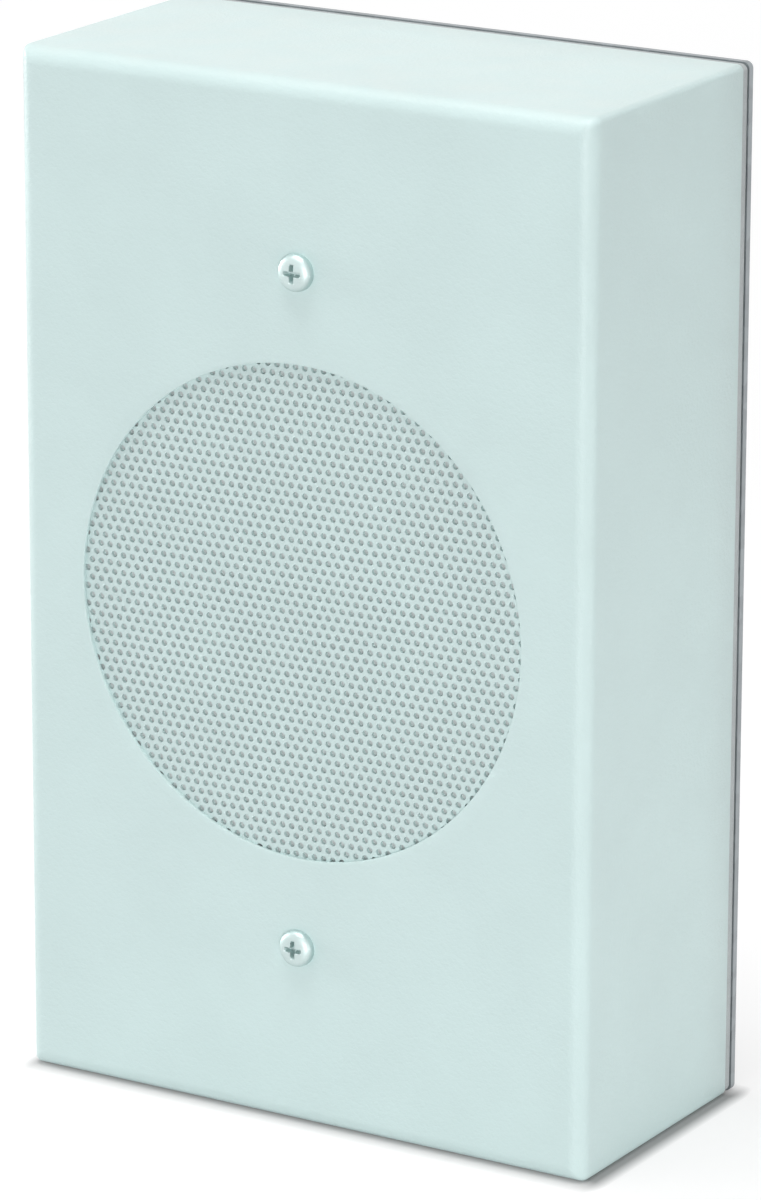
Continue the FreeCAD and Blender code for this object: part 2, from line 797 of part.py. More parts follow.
def make_terminal_strip():
    """An insulating strip riveted to the frame's tab, with two solder lugs."""
    board_front = frame_front - dim.spider_seat_depth - dim.frame_gauge
    thickness = dim.strip_thickness
    board = block(dim.strip_width, thickness, dim.strip_height, board_front, Size.of(0), strip_middle)
    hole = rod(dim.rivet_diameter + 2 * dim.fit_gap, thickness, board_front, 0.0, strip_middle)
    named("terminal_strip", difference(board, hole))
    lug_front = frame_front - strip_back
    middle = tab_low - dim.lug_overhang + dim.lug_length / 2
    lug_sizes = (dim.lug_width, dim.lug_thickness, dim.lug_length, lug_front)
    group("solder_lugs", [block(*lug_sizes, dim.lug_pitch / 2 * side, middle) for side in (-1, 1)])
    rivet_front = board_front + dim.frame_gauge
    rivet = rod(dim.rivet_diameter, dim.frame_gauge + thickness, rivet_front, 0.0, strip_middle)
    named("strip_rivet", rivet)


# Line transformer

def transformer_feet():
    """Where the two feet of the transformer's strap are fixed, across the cabinet."""
    reach = foot_reach - dim.foot_hole_inset
    return [transformer_across + reach * way for way in (-1, 1)]


def transformer_body(label):
    """A body on the back plate at the transformer's place."""
    return body_at(label, dim.plate_gauge, transformer_across, -dim.transformer_down)


def make_transformer():
    """Stacked core, bobbin, winding, strap, studs and nuts."""
    half, high, yoke = dim.core_width / 2, dim.core_height, dim.core_leg / 2
    core = transformer_body("transformer_core")
    sheet_outline = sketch_on(core, "XY_Plane")
    draw_rectangle(sheet_outline, dim.core_width, high, Size.of(0), -high / 2)
    window_width = half - 2 * yoke
    for side in (-1, 1):
        middle = (yoke + window_width / 2) * side
        draw_rectangle(sheet_outline, window_width, high - 2 * yoke, middle, -high / 2)
    pad_both_ways(core, sheet_outline, dim.core_stack)

    tube_inner = (dim.core_leg + 2 * dim.core_gap, dim.core_stack + 2 * dim.core_gap)
    tube_outer = [length + 2 * dim.bobbin_wall for length in tube_inner]
    spool_front = high - yoke - dim.core_gap
    spool_length = high - 2 * yoke - 2 * dim.core_gap
    flange = [length + 2 * dim.bobbin_reach - 2 * dim.core_gap for length in (dim.core_leg, dim.core_stack)]
    bobbin = transformer_body("transformer_bobbin")
    for offset, outline, length in (
        (spool_front, flange, dim.bobbin_wall),
        (spool_front - dim.bobbin_wall, tube_outer, spool_length - 2 * dim.bobbin_wall),
        (spool_front - spool_length + dim.bobbin_wall, flange, dim.bobbin_wall),
    ):
        section = sketch_on(bobbin, offset=offset)
        draw_rectangle(section, *outline)
        draw_rectangle(section, *tube_inner)
        pad(bobbin, section, length)

    winding = transformer_body("transformer_winding")
    wire_front = spool_front - dim.bobbin_wall - dim.fit_gap
    wire_length = spool_length - 2 * dim.bobbin_wall - 2 * dim.fit_gap
    section = sketch_on(winding, offset=wire_front)
    draw_rectangle(section, *[length - 2 * dim.coil_margin for length in flange])
    round_edges(winding, pad(winding, section, wire_length), dim.coil_corner, runs_along_depth)
    hollow = sketch_on(winding, offset=wire_front)
    draw_rectangle(hollow, *[length + 2 * dim.fit_gap for length in tube_outer])
    cut(winding, hollow)

    strap = transformer_body("transformer_bracket")
    gauge = dim.strap_gauge
    leg_in = half + dim.core_gap
    leg_out, foot_end, crown = leg_in + gauge, leg_in + gauge + dim.strap_foot, high + gauge
    right = [(foot_end, 0), (foot_end, -gauge), (leg_out, -gauge), (leg_out, -crown)]
    left = [(-across, depth) for across, depth in reversed(right)]
    inner = [(-leg_in, 0), (-leg_in, -high), (leg_in, -high), (leg_in, 0)]
    band = sketch_on(strap, "XY_Plane")
    draw_polygon(band, right + left + inner)
    pad_both_ways(strap, band, dim.core_stack)
    feet = sketch_on(strap, offset=gauge)
    for across in transformer_feet():
        draw_circle(feet, stud_hole, across - transformer_across)
    cut(strap, feet)
    stud_at = [(across, -dim.transformer_down) for across in transformer_feet()]
    long_stud = (dim.stud_diameter, dim.fixing_stud_length, dim.fixing_stud_length)
    group("transformer_studs", [rod(*long_stud, *point) for point in stud_at])
    nut_front = dim.plate_gauge + gauge + dim.nut_height
    group("transformer_nuts", [nut(nut_front, *point) for point in stud_at])


# Terminal block and earth terminal

def pole_places():
    """Where the three poles of the terminal block stand, across the cabinet."""
    return [block_across + dim.pole_pitch * pole for pole in (-1, 0, 1)]


insert_front = dim.plate_gauge + dim.block_base + dim.insert_height / 2
wire_line = insert_front - dim.insert_height + dim.insert_width / 2


def make_terminal_block():
    """A three pole block with brass inserts, clamp screws and two fixing screws."""
    body = body_at("terminal_block", dim.plate_gauge, block_across, -dim.block_down)
    base, high, half = dim.block_base, dim.block_height, dim.pole_width / 2
    pitch = dim.pole_pitch
    towers = []
    for pole in (1, 0, -1):
        right, left = pitch * pole + half, pitch * pole - half
        towers += [(right, -base), (right, -high), (left, -high), (left, -base)]
    ends = [(pitch + half, 0)] + towers[1:-1] + [(-pitch - half, 0)]
    outline = sketch_on(body, "XY_Plane")
    draw_polygon(outline, ends)
    pad_both_ways(body, outline, dim.block_depth)
    wells = sketch_on(body, offset=high)
    slot = dim.insert_width + 2 * dim.insert_gap
    well = dim.clamp_screw + 2 * dim.insert_gap
    for pole in (-1, 0, 1):
        for level in (-1, 1):
            draw_circle(wells, well, pitch * pole, dim.clamp_pitch / 2 * level)
    cut(body, wells, high - base)
    passages = sketch_on(body, "XY_Plane")
    passage_middle = insert_front - dim.insert_height / 2 - dim.plate_gauge
    for pole in (-1, 0, 1):
        draw_rectangle(passages, slot, dim.insert_height + 2 * dim.insert_gap, pitch * pole, -passage_middle)
    passage = cut(body, passages)
    passage.SideType = "Symmetric"
    fixings = sketch_on(body, offset=base)
    for side in (-1, 1):
        draw_circle(fixings, dim.block_screw + 2 * dim.fit_gap, pitch / 2 * side)
    cut(body, fixings)

    bars, screws = [], []
    length = dim.block_depth - 2 * dim.insert_gap
    low = -dim.block_down - length / 2
    for across in pole_places():
        bar = block(dim.insert_width, dim.insert_height, length, insert_front, across, -dim.block_down)
        tools = [upright_rod(dim.wire_bore, length, wire_line, across, low)]
        for level in (-1, 1):
            up = -dim.block_down + dim.clamp_pitch / 2 * level
            depth = insert_front - wire_line
            tools.append(rod(dim.clamp_screw + 2 * dim.fit_gap, depth, insert_front, across, up))
            head = wire_line + dim.lead_diameter / 2 + dim.clamp_length
            screws.append(rod(dim.clamp_screw, dim.clamp_length, head, across, up))
        bars.append(difference(bar, *tools))
    group("terminal_inserts", bars)
    group("terminal_screws", screws)
    fixed = []
    front = dim.plate_gauge + base
    for side in (-1, 1):
        across = block_across + pitch / 2 * side
        shank = rod(dim.block_screw, front, front, across, -dim.block_down)
        head_front = front + dim.block_screw_head_height
        head = rod(dim.block_screw_head, dim.block_screw_head_height, head_front, across, -dim.block_down)
        screw = doc.addObject("Part::Fuse", "block_screw")
        screw.Base = shank
        screw.Tool = head
        fixed.append(screw)
    group("block_screws", fixed)


def make_earth_terminal():
    """A pressed stud and its nut."""
    spot = (earth_across, -dim.earth_down)
    stud = rod(dim.stud_diameter, dim.fixing_stud_length, dim.fixing_stud_length, *spot)
    named("earth_stud", stud)
    named("earth_nut", nut(dim.plate_gauge + dim.nut_height, *spot))


# Leads

def make_leads(label, routes, diameter):
    """Round leads along routes of straight runs with an arc at each point between the ends."""
    solids = []
    for route in routes:
        points = [FreeCAD.Vector(*[Size.of(length).number for length in point]) for point in route]
        edges = []
        start = points[0]
        for before, here, after in zip(points, points[1:], points[2:]):
            back, onward = before - here, after - here
            half_turn = (math.pi - back.getAngle(onward)) / 2
            trim = ARC_SHARE * min(back.Length, onward.Length)
            back.normalize()
            onward.normalize()
            radius = trim / math.tan(half_turn)
            inward = (back + onward).normalize()
            middle = here + inward * (radius / math.cos(half_turn) - radius)
            edges.append(Part.LineSegment(start, here + back * trim).toShape())
            edges.append(Part.Arc(here + back * trim, middle, here + onward * trim).toShape())
            start = here + onward * trim
        edges.append(Part.LineSegment(start, points[-1]).toShape())
        path = Part.Wire(edges)
        section = Part.Wire(Part.makeCircle(diameter.number / 2, points[0], points[1] - points[0]))
        solid = path.makePipeShell([section], True, True)
        expected = math.pi * diameter.number ** 2 / 4 * path.Length
        if abs(solid.Volume - expected) > VOLUME_SHARE * expected:
            raise RuntimeError(f"{label}: the tube has volume {solid.Volume}, not {expected}")
        solids.append(solid)
    item = doc.addObject("Part::Feature", label)
    item.Shape = Part.makeCompound(solids)
    item.Placement = FreeCAD.Placement()
    pieces.append(item)


def make_tinsel_leads():
    """Two limp leads from the lugs' sides, through a window of the frame, to the back of the cone."""
    thick, loop = dim.tinsel_diameter, dim.tinsel_loop
    lug_side = dim.lug_pitch / 2 + dim.lug_width / 2
    strip_line = strip_back + thick / 2 - frame_front
    lug_up = strip_middle - loop / 2
    joint_across, joint_up = dim.tinsel_joint_across, -dim.tinsel_joint_down
    flare = (dim.neck_depth - dim.cone_rim_depth) / (cone_inner_rim - cone_neck)
    joint_radius = math.hypot(joint_up.number, joint_across.number)
    cone_back = dim.cone_rim_depth + flare * (cone_inner_rim - joint_radius) + dim.cone_thickness
    joint_line = cone_back + dim.glue_gap + thick / 2 - frame_front
    routes = []
    for way in (-1, 1):
        routes.append([
            (lug_side * way, strip_line, lug_up),
            ((lug_side + loop) * way, strip_line, lug_up),
            ((lug_side + loop) * way, strip_line - dim.tinsel_rise, strip_middle + thick),
            ((joint_across + loop) * way, joint_line + thick / 2, joint_up - 2 * loop),
            (joint_across * way, joint_line, joint_up),
        ])
    make_leads("tinsel_leads", routes, thick)


coil_reach = dim.core_stack / 2 + dim.bobbin_reach - dim.core_gap - dim.coil_margin
coil_line = -(dim.plate_gauge + dim.core_height / 2)


def make_speaker_leads():
    """Two leads from the top of the transformer's winding to the lugs of the driver."""
    lug_line = strip_back + dim.lug_thickness / 2 - frame_front
    lug_low = tab_low - dim.lug_overhang
    lug = dim.lug_pitch / 2
    lug_side = lug + dim.lug_width / 2
    side_up = lug_low + dim.lug_overhang / 2
    left_start = transformer_across - dim.lead_pitch / 2
    right_start = transformer_across + dim.lead_pitch / 2
    top = -dim.transformer_down + coil_reach
    thick, stub, sag = dim.lead_diameter, dim.lead_stub, dim.lead_sag
    left_end = -lug_side - stub - thick
    left = [
        (left_start, coil_line, top),
        (left_start, coil_line, top + stub + thick),
        ((left_start + left_end) / 2, lug_line + sag, side_up + thick / 3),
        (left_end, lug_line, side_up),
        (-lug_side, lug_line, side_up),
    ]
    right = [
        (right_start, coil_line, top),
        (right_start, coil_line, top + stub),
        ((right_start + lug) / 2, lug_line + sag + thick, lug_low - sag),
        (lug, lug_line, lug_low - stub - thick),
        (lug, lug_line, lug_low),
    ]
    make_leads("speaker_leads", [left, right], thick)


def make_tap_leads():
    """Three leads from the bottom of the transformer's winding to the terminal block."""
    low = -dim.transformer_down - coil_reach
    bar_end = -dim.block_down - dim.block_depth / 2
    routes = []
    for pole, across in enumerate(pole_places()):
        start = transformer_across + dim.lead_pitch * (1 - pole)
        level = bar_end - dim.lead_drop * (1 + pole)
        routes.append([
            (start, coil_line, low),
            (start, coil_line, level),
            ((start + across) / 2, (coil_line - wire_line) / 2, level - dim.lead_diameter),
            (across, -wire_line, level),
            (across, -wire_line, bar_end + dim.lead_entry),
        ])
    make_leads("tap_leads", routes, dim.lead_diameter)


# Assembly

make_front_cover()
make_grille_disc()
make_driver_seat()
make_rear_seal()
make_back_plate()
make_cable_grommet()
for ending, level in (("top", 1), ("bottom", -1)):
    make_pillar(f"cover_pillar_{ending}", level)
    make_cover_screw(f"cover_screw_{ending}", level)
make_driver_basket()
make_surround()
make_cone()
make_dust_cap()
make_spider()
make_motor()
make_terminal_strip()
make_transformer()
make_terminal_block()
make_earth_terminal()
make_tinsel_leads()
make_speaker_leads()
make_tap_leads()
doc.recompute()

for item in doc.Objects:
    if {"Invalid", "Error"} & set(item.State):
        raise RuntimeError(f"{item.Label} failed: {item.State}")
for piece in pieces:
    if piece.Shape.isNull() or not piece.Shape.isValid() or not piece.Shape.Solids:
        raise RuntimeError(f"{piece.Label} has no valid solid")

os.makedirs("parts", exist_ok=True)
for piece in pieces:
    piece.Shape.exportStep(f"parts/{piece.Label}.step")
    print(f"{piece.Label}: {len(piece.Shape.Solids)} solids, {piece.Shape.Volume:.1f} cubic mm")
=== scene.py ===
"""Visual model of a public address wall speaker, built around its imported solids.

Lengths are metres in the frame of the solids: X runs to the right of the front, Y into the wall, Z up.
"""

import json
import logging
import math
from collections.abc import Callable
from dataclasses import dataclass, field
from enum import Enum

import bmesh
import bpy
import numpy as np
from mathutils import Matrix, Vector


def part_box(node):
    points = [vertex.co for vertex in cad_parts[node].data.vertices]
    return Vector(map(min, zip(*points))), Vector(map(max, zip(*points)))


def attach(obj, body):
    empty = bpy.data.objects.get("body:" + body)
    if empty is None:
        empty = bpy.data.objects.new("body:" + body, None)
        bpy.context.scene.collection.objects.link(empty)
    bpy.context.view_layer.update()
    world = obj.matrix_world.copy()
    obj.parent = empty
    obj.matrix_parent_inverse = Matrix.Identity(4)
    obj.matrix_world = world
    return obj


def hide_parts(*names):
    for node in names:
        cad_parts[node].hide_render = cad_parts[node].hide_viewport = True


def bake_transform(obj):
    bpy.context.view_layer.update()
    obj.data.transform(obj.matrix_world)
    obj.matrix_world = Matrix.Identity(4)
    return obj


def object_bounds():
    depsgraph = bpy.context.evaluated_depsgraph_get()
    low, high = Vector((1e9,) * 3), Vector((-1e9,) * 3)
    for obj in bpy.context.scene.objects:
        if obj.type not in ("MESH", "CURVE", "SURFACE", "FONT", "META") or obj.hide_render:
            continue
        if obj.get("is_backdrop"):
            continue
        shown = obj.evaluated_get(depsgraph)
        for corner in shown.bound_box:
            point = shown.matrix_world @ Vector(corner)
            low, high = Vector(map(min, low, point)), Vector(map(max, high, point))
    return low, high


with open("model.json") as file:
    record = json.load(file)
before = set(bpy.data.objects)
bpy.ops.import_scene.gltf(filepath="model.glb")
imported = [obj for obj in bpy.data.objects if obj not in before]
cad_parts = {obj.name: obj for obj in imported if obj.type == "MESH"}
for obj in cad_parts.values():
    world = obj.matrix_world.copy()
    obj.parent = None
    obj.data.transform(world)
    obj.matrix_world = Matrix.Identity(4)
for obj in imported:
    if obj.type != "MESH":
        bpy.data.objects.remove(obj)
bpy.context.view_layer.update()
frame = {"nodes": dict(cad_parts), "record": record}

MM = 0.001
MERGE_DISTANCE = 1e-6
# Edges that turn by more than this many degrees are rounded
ROUNDED_ANGLE = 50.0
# A flat face with less than this share of a whole cell's area is left out
SLIVER = 0.02
# A wave texture of scale 1 has this many radians in a metre
WAVE_RADIANS = 20.0
# What the grille, the cloth and the gasket share
STUD_PITCH = 104.0 * MM
SHEET_CORNER = 10.0 * MM

Array = np.ndarray
Colour = tuple[float, float, float]
Light = tuple[float, float, float, float]
Span = tuple[float, float]
Sockets = dict[str, bpy.types.NodeSocket]
Drawing = Callable[["Canvas", Sockets], Sockets]
log = logging.getLogger("wall_speaker")


class Body(Enum):
    """The two bodies that pieces ride on."""

    CABINET = "cabinet"
    CONE = "moving_cone"


class Slot(Enum):
    """Material slots of the record."""

    COVER = "cover_paint"
    GRILLE = "grille_paint"
    SCREW = "screw_plating"
    ZINC = "zinc_plate"
    SEAL = "seal_foam"
    DUST_CLOTH = "dust_cloth"
    HARDWARE = "plated_hardware"
    FRAME = "frame_steel"
    EDGE_CLOTH = "edge_cloth"
    CONE = "cone_paper"
    FORMER = "former_paper"
    COPPER = "copper_wire"
    SPIDER = "spider_cloth"
    IRON = "motor_iron"
    FERRITE = "ferrite"
    BOARD = "strip_board"
    BRASS = "brass"
    TINSEL = "tinsel"
    CORE = "core_steel"
    BOBBIN = "bobbin_plastic"
    TAPE = "coil_tape"
    CERAMIC = "block_ceramic"
    RUBBER = "grommet_rubber"
    LEAD = "lead_jacket"
    TAP = "tap_jacket"


class Effect(Enum):
    """Surface effects that several finishes share."""

    MOTTLE = "colour_mottle"
    PEEL = "orange_peel"
    WEAVE = "thread_weave"
    BRUSHED = "brushed_grain"
    DUST = "settled_dust"
    WEAR_AND_HIGHLIGHT = "edge_wear_and_painted_highlight"


class Axis(Enum):
    """The frame's axes, as a direction of bands or grain."""

    X = "X"
    Y = "Y"
    Z = "Z"


# Meshes

@dataclass
class Surface:
    """A mesh as arrays.

    Points are rows of three, each face array has rows of corner numbers, and places, where given, are
    two texture lengths for each point.
    """

    points: Array
    faces: list[Array]
    places: Array | None = None


def grid_faces(rows: int, columns: int, round_rows: bool = False, round_columns: bool = False) -> Array:
    """Corner numbers of the quads of a grid of points.

    Args:
        rows: Number of rows of points.
        columns: Number of points in a row.
        round_rows: Whether the last row joins the first.
        round_columns: Whether the end of each row joins its start.

    Returns:
        One row of four corner numbers for each quad.
    """
    index = np.arange(rows * columns).reshape(rows, columns)
    if round_columns:
        index = np.concatenate([index, index[:, :1]], axis=1)
    if round_rows:
        index = np.concatenate([index, index[:1]], axis=0)
    corners = [index[:-1, :-1], index[1:, :-1], index[1:, 1:], index[:-1, 1:]]
    return np.stack(corners, axis=-1).reshape(-1, 4)


def joined(*surfaces: Surface) -> Surface:
    """Several surfaces as one, with the corner numbers moved along.

    Args:
        surfaces: The surfaces, in order.

    Returns:
        One surface that holds them all.
    """
    starts = np.cumsum([0] + [len(surface.points) for surface in surfaces])
    faces = [face + start for surface, start in zip(surfaces, starts) for face in surface.faces]
    return Surface(np.concatenate([surface.points for surface in surfaces]), faces)


def lathe(profile: Array, steps: int) -> Surface:
    """Turn a closed profile about the Y axis.

    A point is (r cos t, y, r sin t) for each radius and depth of the profile and each angle t.

    Args:
        profile: Rows of radius and depth, the last of which joins the first.
        steps: Number of angles in a full turn.

    Returns:
        The surface, with the way round and the way along the profile as its places.
    """
    turn = np.linspace(0.0, 2 * math.pi, steps, endpoint=False)
    radius, depth = profile[:, :1], profile[:, 1:]
    points = np.stack([radius * np.cos(turn), depth + 0 * turn, radius * np.sin(turn)], axis=-1)
    run = np.concatenate([[0.0], np.cumsum(np.hypot(*np.diff(profile, axis=0).T))])
    places = np.stack(np.broadcast_arrays(turn * profile[:, 0].mean(), run[:, None]), axis=-1)
    faces = grid_faces(len(profile), steps, round_rows=True, round_columns=True)
    return Surface(points.reshape(-1, 3), [faces], places.reshape(-1, 2))


def new_piece(name: str, surface: Surface, outward: bool = True) -> bpy.types.Object:
    """Put a surface into a mesh object, merge its doubles and close its seams.

    Args:
        name: Name of the piece.
        surface: The arrays.
        outward: Whether the faces are turned outwards here; a flat sheet already faces the right way.

    Returns:
        The object, at the origin.
    """
    mesh = bpy.data.meshes.new(name)
    faces = [corners for array in surface.faces for corners in array.tolist()]
    mesh.from_pydata(surface.points.tolist(), [], faces)
    if surface.places is not None:
        layer = mesh.uv_layers.new(name="places")
        corner = np.zeros(len(mesh.loops), dtype=np.int32)
        mesh.loops.foreach_get("vertex_index", corner)
        layer.data.foreach_set("uv", surface.places[corner].astype(np.float32).ravel())
    work = bmesh.new()
    work.from_mesh(mesh)
    bmesh.ops.remove_doubles(work, verts=work.verts, dist=MERGE_DISTANCE)
    if outward:
        bmesh.ops.recalc_face_normals(work, faces=work.faces)
    work.to_mesh(mesh)
    work.free()
    piece = bpy.data.objects.new(name, mesh)
    bpy.context.scene.collection.objects.link(piece)
    return piece


def thicken(piece: bpy.types.Object, thickness: float) -> None:
    """Give an open sheet its thickness behind its face.

    Args:
        piece: The sheet.
        thickness: How thick it becomes.
    """
    wall = piece.modifiers.new("wall", "SOLIDIFY")
    wall.thickness = thickness
    wall.offset = -1.0
    wall.use_even_offset = True


def soften(piece: bpy.types.Object, width: float, steps: int = 2) -> None:
    """Round the sharp edges of a piece.

    Args:
        piece: The object.
        width: Width of the rounding.
        steps: Number of faces across it.
    """
    bevel = piece.modifiers.new("edges", "BEVEL")
    bevel.width = width
    bevel.segments = steps
    bevel.limit_method = "ANGLE"
    bevel.angle_limit = math.radians(ROUNDED_ANGLE)
    bevel.use_clamp_overlap = True


def settle(piece: bpy.types.Object, sharp: float = 40.0) -> bpy.types.Object:
    """Make the modifiers part of the mesh and shade it smooth up to a sharp angle.

    Args:
        piece: The object.
        sharp: Angle between faces, in degrees, past which an edge stays sharp.

    Returns:
        The same object with its final mesh.
    """
    view = bpy.context.evaluated_depsgraph_get()
    final = bpy.data.meshes.new_from_object(piece.evaluated_get(view))
    piece.modifiers.clear()
    piece.data = final
    final.polygons.foreach_set("use_smooth", np.ones(len(final.polygons), dtype=bool))
    final.set_sharp_from_angle(angle=math.radians(sharp))
    return piece


# Finishes

def linear(colour: Colour) -> Light:
    """A colour of 0 to 255 per channel as linear light, by the usual curve of a display.

    Args:
        colour: Red, green and blue.

    Returns:
        Linear red, green and blue, with full alpha.
    """
    share = np.array(colour) / 255.0
    light = np.where(share <= 0.04045, share / 12.92, ((share + 0.055) / 1.055) ** 2.4)
    return (*light.tolist(), 1.0)


def grey(level: float) -> Light:
    """An even grey of linear light, with full alpha."""
    return (level, level, level, 1.0)


class Canvas:
    """A node tree with short calls for adding and joining nodes."""

    def __init__(self, tree: bpy.types.NodeTree) -> None:
        """Work on a tree."""
        self.tree = tree

    def add(self, kind: str, inputs: dict | None = None, **settings: object) -> bpy.types.Node:
        """Add a node.

        Args:
            kind: Type of the node, without its ShaderNode prefix.
            inputs: Values or sockets to feed into it, by the name or number of its input.
            settings: Properties to set before feeding it.

        Returns:
            The node.
        """
        node = self.tree.nodes.new(kind if kind.startswith("NodeGroup") else f"ShaderNode{kind}")
        for key, value in settings.items():
            setattr(node, key, value)
        for key, value in (inputs or {}).items():
            self.feed(node.inputs[key], value)
        return node

    def feed(self, socket: bpy.types.NodeSocket, value: object) -> None:
        """Link a socket into an input, or set a plain value on it.

        Args:
            socket: The input.
            value: Another node's output, or a plain value.
        """
        if isinstance(value, bpy.types.NodeSocket):
            self.tree.links.new(value, socket)
        else:
            socket.default_value = value

    def sum_of(self, operation: str, *values: object) -> bpy.types.NodeSocket:
        """The result of a sum on one, two or three values."""
        return self.add("Math", dict(enumerate(values)), operation=operation).outputs[0]

    def blend(self, share: object, first: object, second: object) -> bpy.types.NodeSocket:
        """A colour between two, by a share."""
        return self.add("Mix", {0: share, 6: first, 7: second}, data_type="RGBA").outputs[2]

    def noise(self, place: object, scale: object, layers: float, warp: float = 0.0) -> bpy.types.NodeSocket:
        """Soft noise at a place, in finer and finer layers."""
        inputs = {"Vector": place, "Scale": scale, "Detail": layers, "Distortion": warp}
        return self.add("TexNoise", inputs).outputs[0]

    def spread(
        self, value: object, low: float, high: float, given: Span = (0.0, 1.0)
    ) -> bpy.types.NodeSocket:
        """A value of a given range carried over to another range, and held inside it."""
        inputs = {"Value": value, "From Min": given[0], "From Max": given[1], "To Min": low, "To Max": high}
        return self.add("MapRange", inputs).outputs[0]

    def effect(self, effect: Effect, inputs: dict) -> bpy.types.NodeOutputs:
        """Place a shared effect with its own values, and give what it puts out."""
        return self.add("Group", inputs, node_tree=effects.tree(effect)).outputs


@dataclass
class EffectLibrary:
    """The shared effects, each a node group that is built once.

    A span is the part of a pattern's values that is stretched to the whole of 0 to 1. Patches are counted
    in a metre.
    """

    cloud_span: Span = (0.3, 0.7)
    streak_span: Span = (0.35, 0.65)
    dust_span: Span = (0.35, 0.75)
    dust_least: float = 0.15
    dust_patches: float = 90.0
    upward_span: Span = (0.55, 1.0)
    wear_and_highlight_span: Span = (0.45, 0.7)
    wear_and_highlight_patches: float = 160.0
    edge_span: Span = (0.52, 0.6)
    finer_bumps: float = 2.6
    cell_share: float = 0.7
    thread_dip: float = 0.4
    built: dict[Effect, bpy.types.NodeTree] = field(default_factory=dict)

    def tree(self, effect: Effect) -> bpy.types.NodeTree:
        """The group of an effect.

        Args:
            effect: Which effect.

        Returns:
            Its node tree, built on the first call.
        """
        if effect not in self.built:
            scaled = {"Vector": "Vector", "Scale": "Float"}
            measured = {"Vector": "Vector", "Amount": "Float"}
            laid = {"Across": "Float", "Along": "Float", "Pitch": "Float"}
            makers = {
                Effect.MOTTLE: (self.mottle, scaled),
                Effect.PEEL: (self.peel, scaled),
                Effect.WEAVE: (self.weave, laid),
                Effect.BRUSHED: (self.brushed, scaled),
                Effect.DUST: (self.dust, measured),
                Effect.WEAR_AND_HIGHLIGHT: (self.wear_and_highlight, measured),
            }
            self.built[effect] = self.group(effect.value, *makers[effect])
        return self.built[effect]

    @staticmethod
    def group(name: str, draw: Drawing, inputs: dict[str, str]) -> bpy.types.NodeTree:
        """Build a group.

        Args:
            name: Name of the group.
            draw: Adds the nodes between what is given and what is put out.
            inputs: Name of each input and its kind, Vector or Float.

        Returns:
            The group's node tree.
        """
        tree = bpy.data.node_groups.new(name, "ShaderNodeTree")
        for key, kind in inputs.items():
            tree.interface.new_socket(key, in_out="INPUT", socket_type=f"NodeSocket{kind}")
        canvas = Canvas(tree)
        entry = canvas.add("NodeGroupInput")
        results = draw(canvas, {key: entry.outputs[key] for key in inputs})
        for key in results:
            tree.interface.new_socket(key, in_out="OUTPUT", socket_type="NodeSocketFloat")
        canvas.add("NodeGroupOutput", results)
        return tree

    def mottle(self, canvas: Canvas, given: Sockets) -> Sockets:
        """Cloudy patches: soft noise, stretched to the whole of 0 to 1."""
        noise = canvas.noise(given["Vector"], given["Scale"], layers=4.0)
        return {"Mask": canvas.spread(noise, 0.0, 1.0, self.cloud_span)}

    def peel(self, canvas: Canvas, given: Sockets) -> Sockets:
        """The low bumps of baked powder: small cells under finer noise.

        Args:
            canvas: Where the nodes go.
            given: The place on the surface, and the bumps in a metre.

        Returns:
            The height of the bumps, and a mask for the gloss.
        """
        cells = canvas.add("TexVoronoi", given)
        finer = canvas.sum_of("MULTIPLY", given["Scale"], self.finer_bumps)
        noise = canvas.noise(given["Vector"], finer, layers=2.0)
        height = canvas.sum_of("MULTIPLY_ADD", cells.outputs["Distance"], -self.cell_share, noise)
        return {"Height": height, "Gloss": canvas.spread(noise, 0.0, 1.0, self.cloud_span)}

    def weave(self, canvas: Canvas, given: Sockets) -> Sockets:
        """A plain weave: two sets of round threads, each over the other in every second square.

        Args:
            canvas: Where the nodes go.
            given: The lengths across and along the cloth, and the width of a thread.

        Returns:
            The height of the threads, and which set lies on top.
        """
        threads, squares = [], []
        for way in ("Across", "Along"):
            count = canvas.sum_of("DIVIDE", given[way], given["Pitch"])
            wave = canvas.sum_of("SINE", canvas.sum_of("MULTIPLY", count, math.pi))
            threads.append(canvas.sum_of("ABSOLUTE", wave))
            squares.append(wave)
        over = canvas.sum_of("GREATER_THAN", canvas.sum_of("MULTIPLY", *squares), 0.0)
        lift = canvas.sum_of("MULTIPLY_ADD", over, self.thread_dip, 1.0 - self.thread_dip)
        drop = canvas.sum_of("MULTIPLY_ADD", over, -self.thread_dip, 1.0)
        first = canvas.sum_of("MULTIPLY", threads[0], lift)
        second = canvas.sum_of("MULTIPLY", threads[1], drop)
        return {"Height": canvas.sum_of("MAXIMUM", first, second), "Thread": over}

    def brushed(self, canvas: Canvas, given: Sockets) -> Sockets:
        """Fine parallel scratches: noise on a stretched place."""
        noise = canvas.noise(given["Vector"], given["Scale"], layers=5.0)
        return {"Height": noise, "Streak": canvas.spread(noise, 0.0, 1.0, self.streak_span)}

    def dust(self, canvas: Canvas, given: Sockets) -> Sockets:
        """Fine dust on what faces up: the upward share of the normal, broken up by noise.

        Args:
            canvas: Where the nodes go.
            given: The place on the surface, and the amount of dust.

        Returns:
            The mask of the dust.
        """
        normal = canvas.add("SeparateXYZ", {0: canvas.add("NewGeometry").outputs["Normal"]})
        upward = canvas.spread(normal.outputs["Z"], 0.0, 1.0, self.upward_span)
        noise = canvas.noise(given["Vector"], self.dust_patches, layers=6.0)
        grain = canvas.spread(noise, self.dust_least, 1.0, self.dust_span)
        lying = canvas.sum_of("MULTIPLY", upward, grain)
        return {"Mask": canvas.sum_of("MULTIPLY", lying, given["Amount"])}

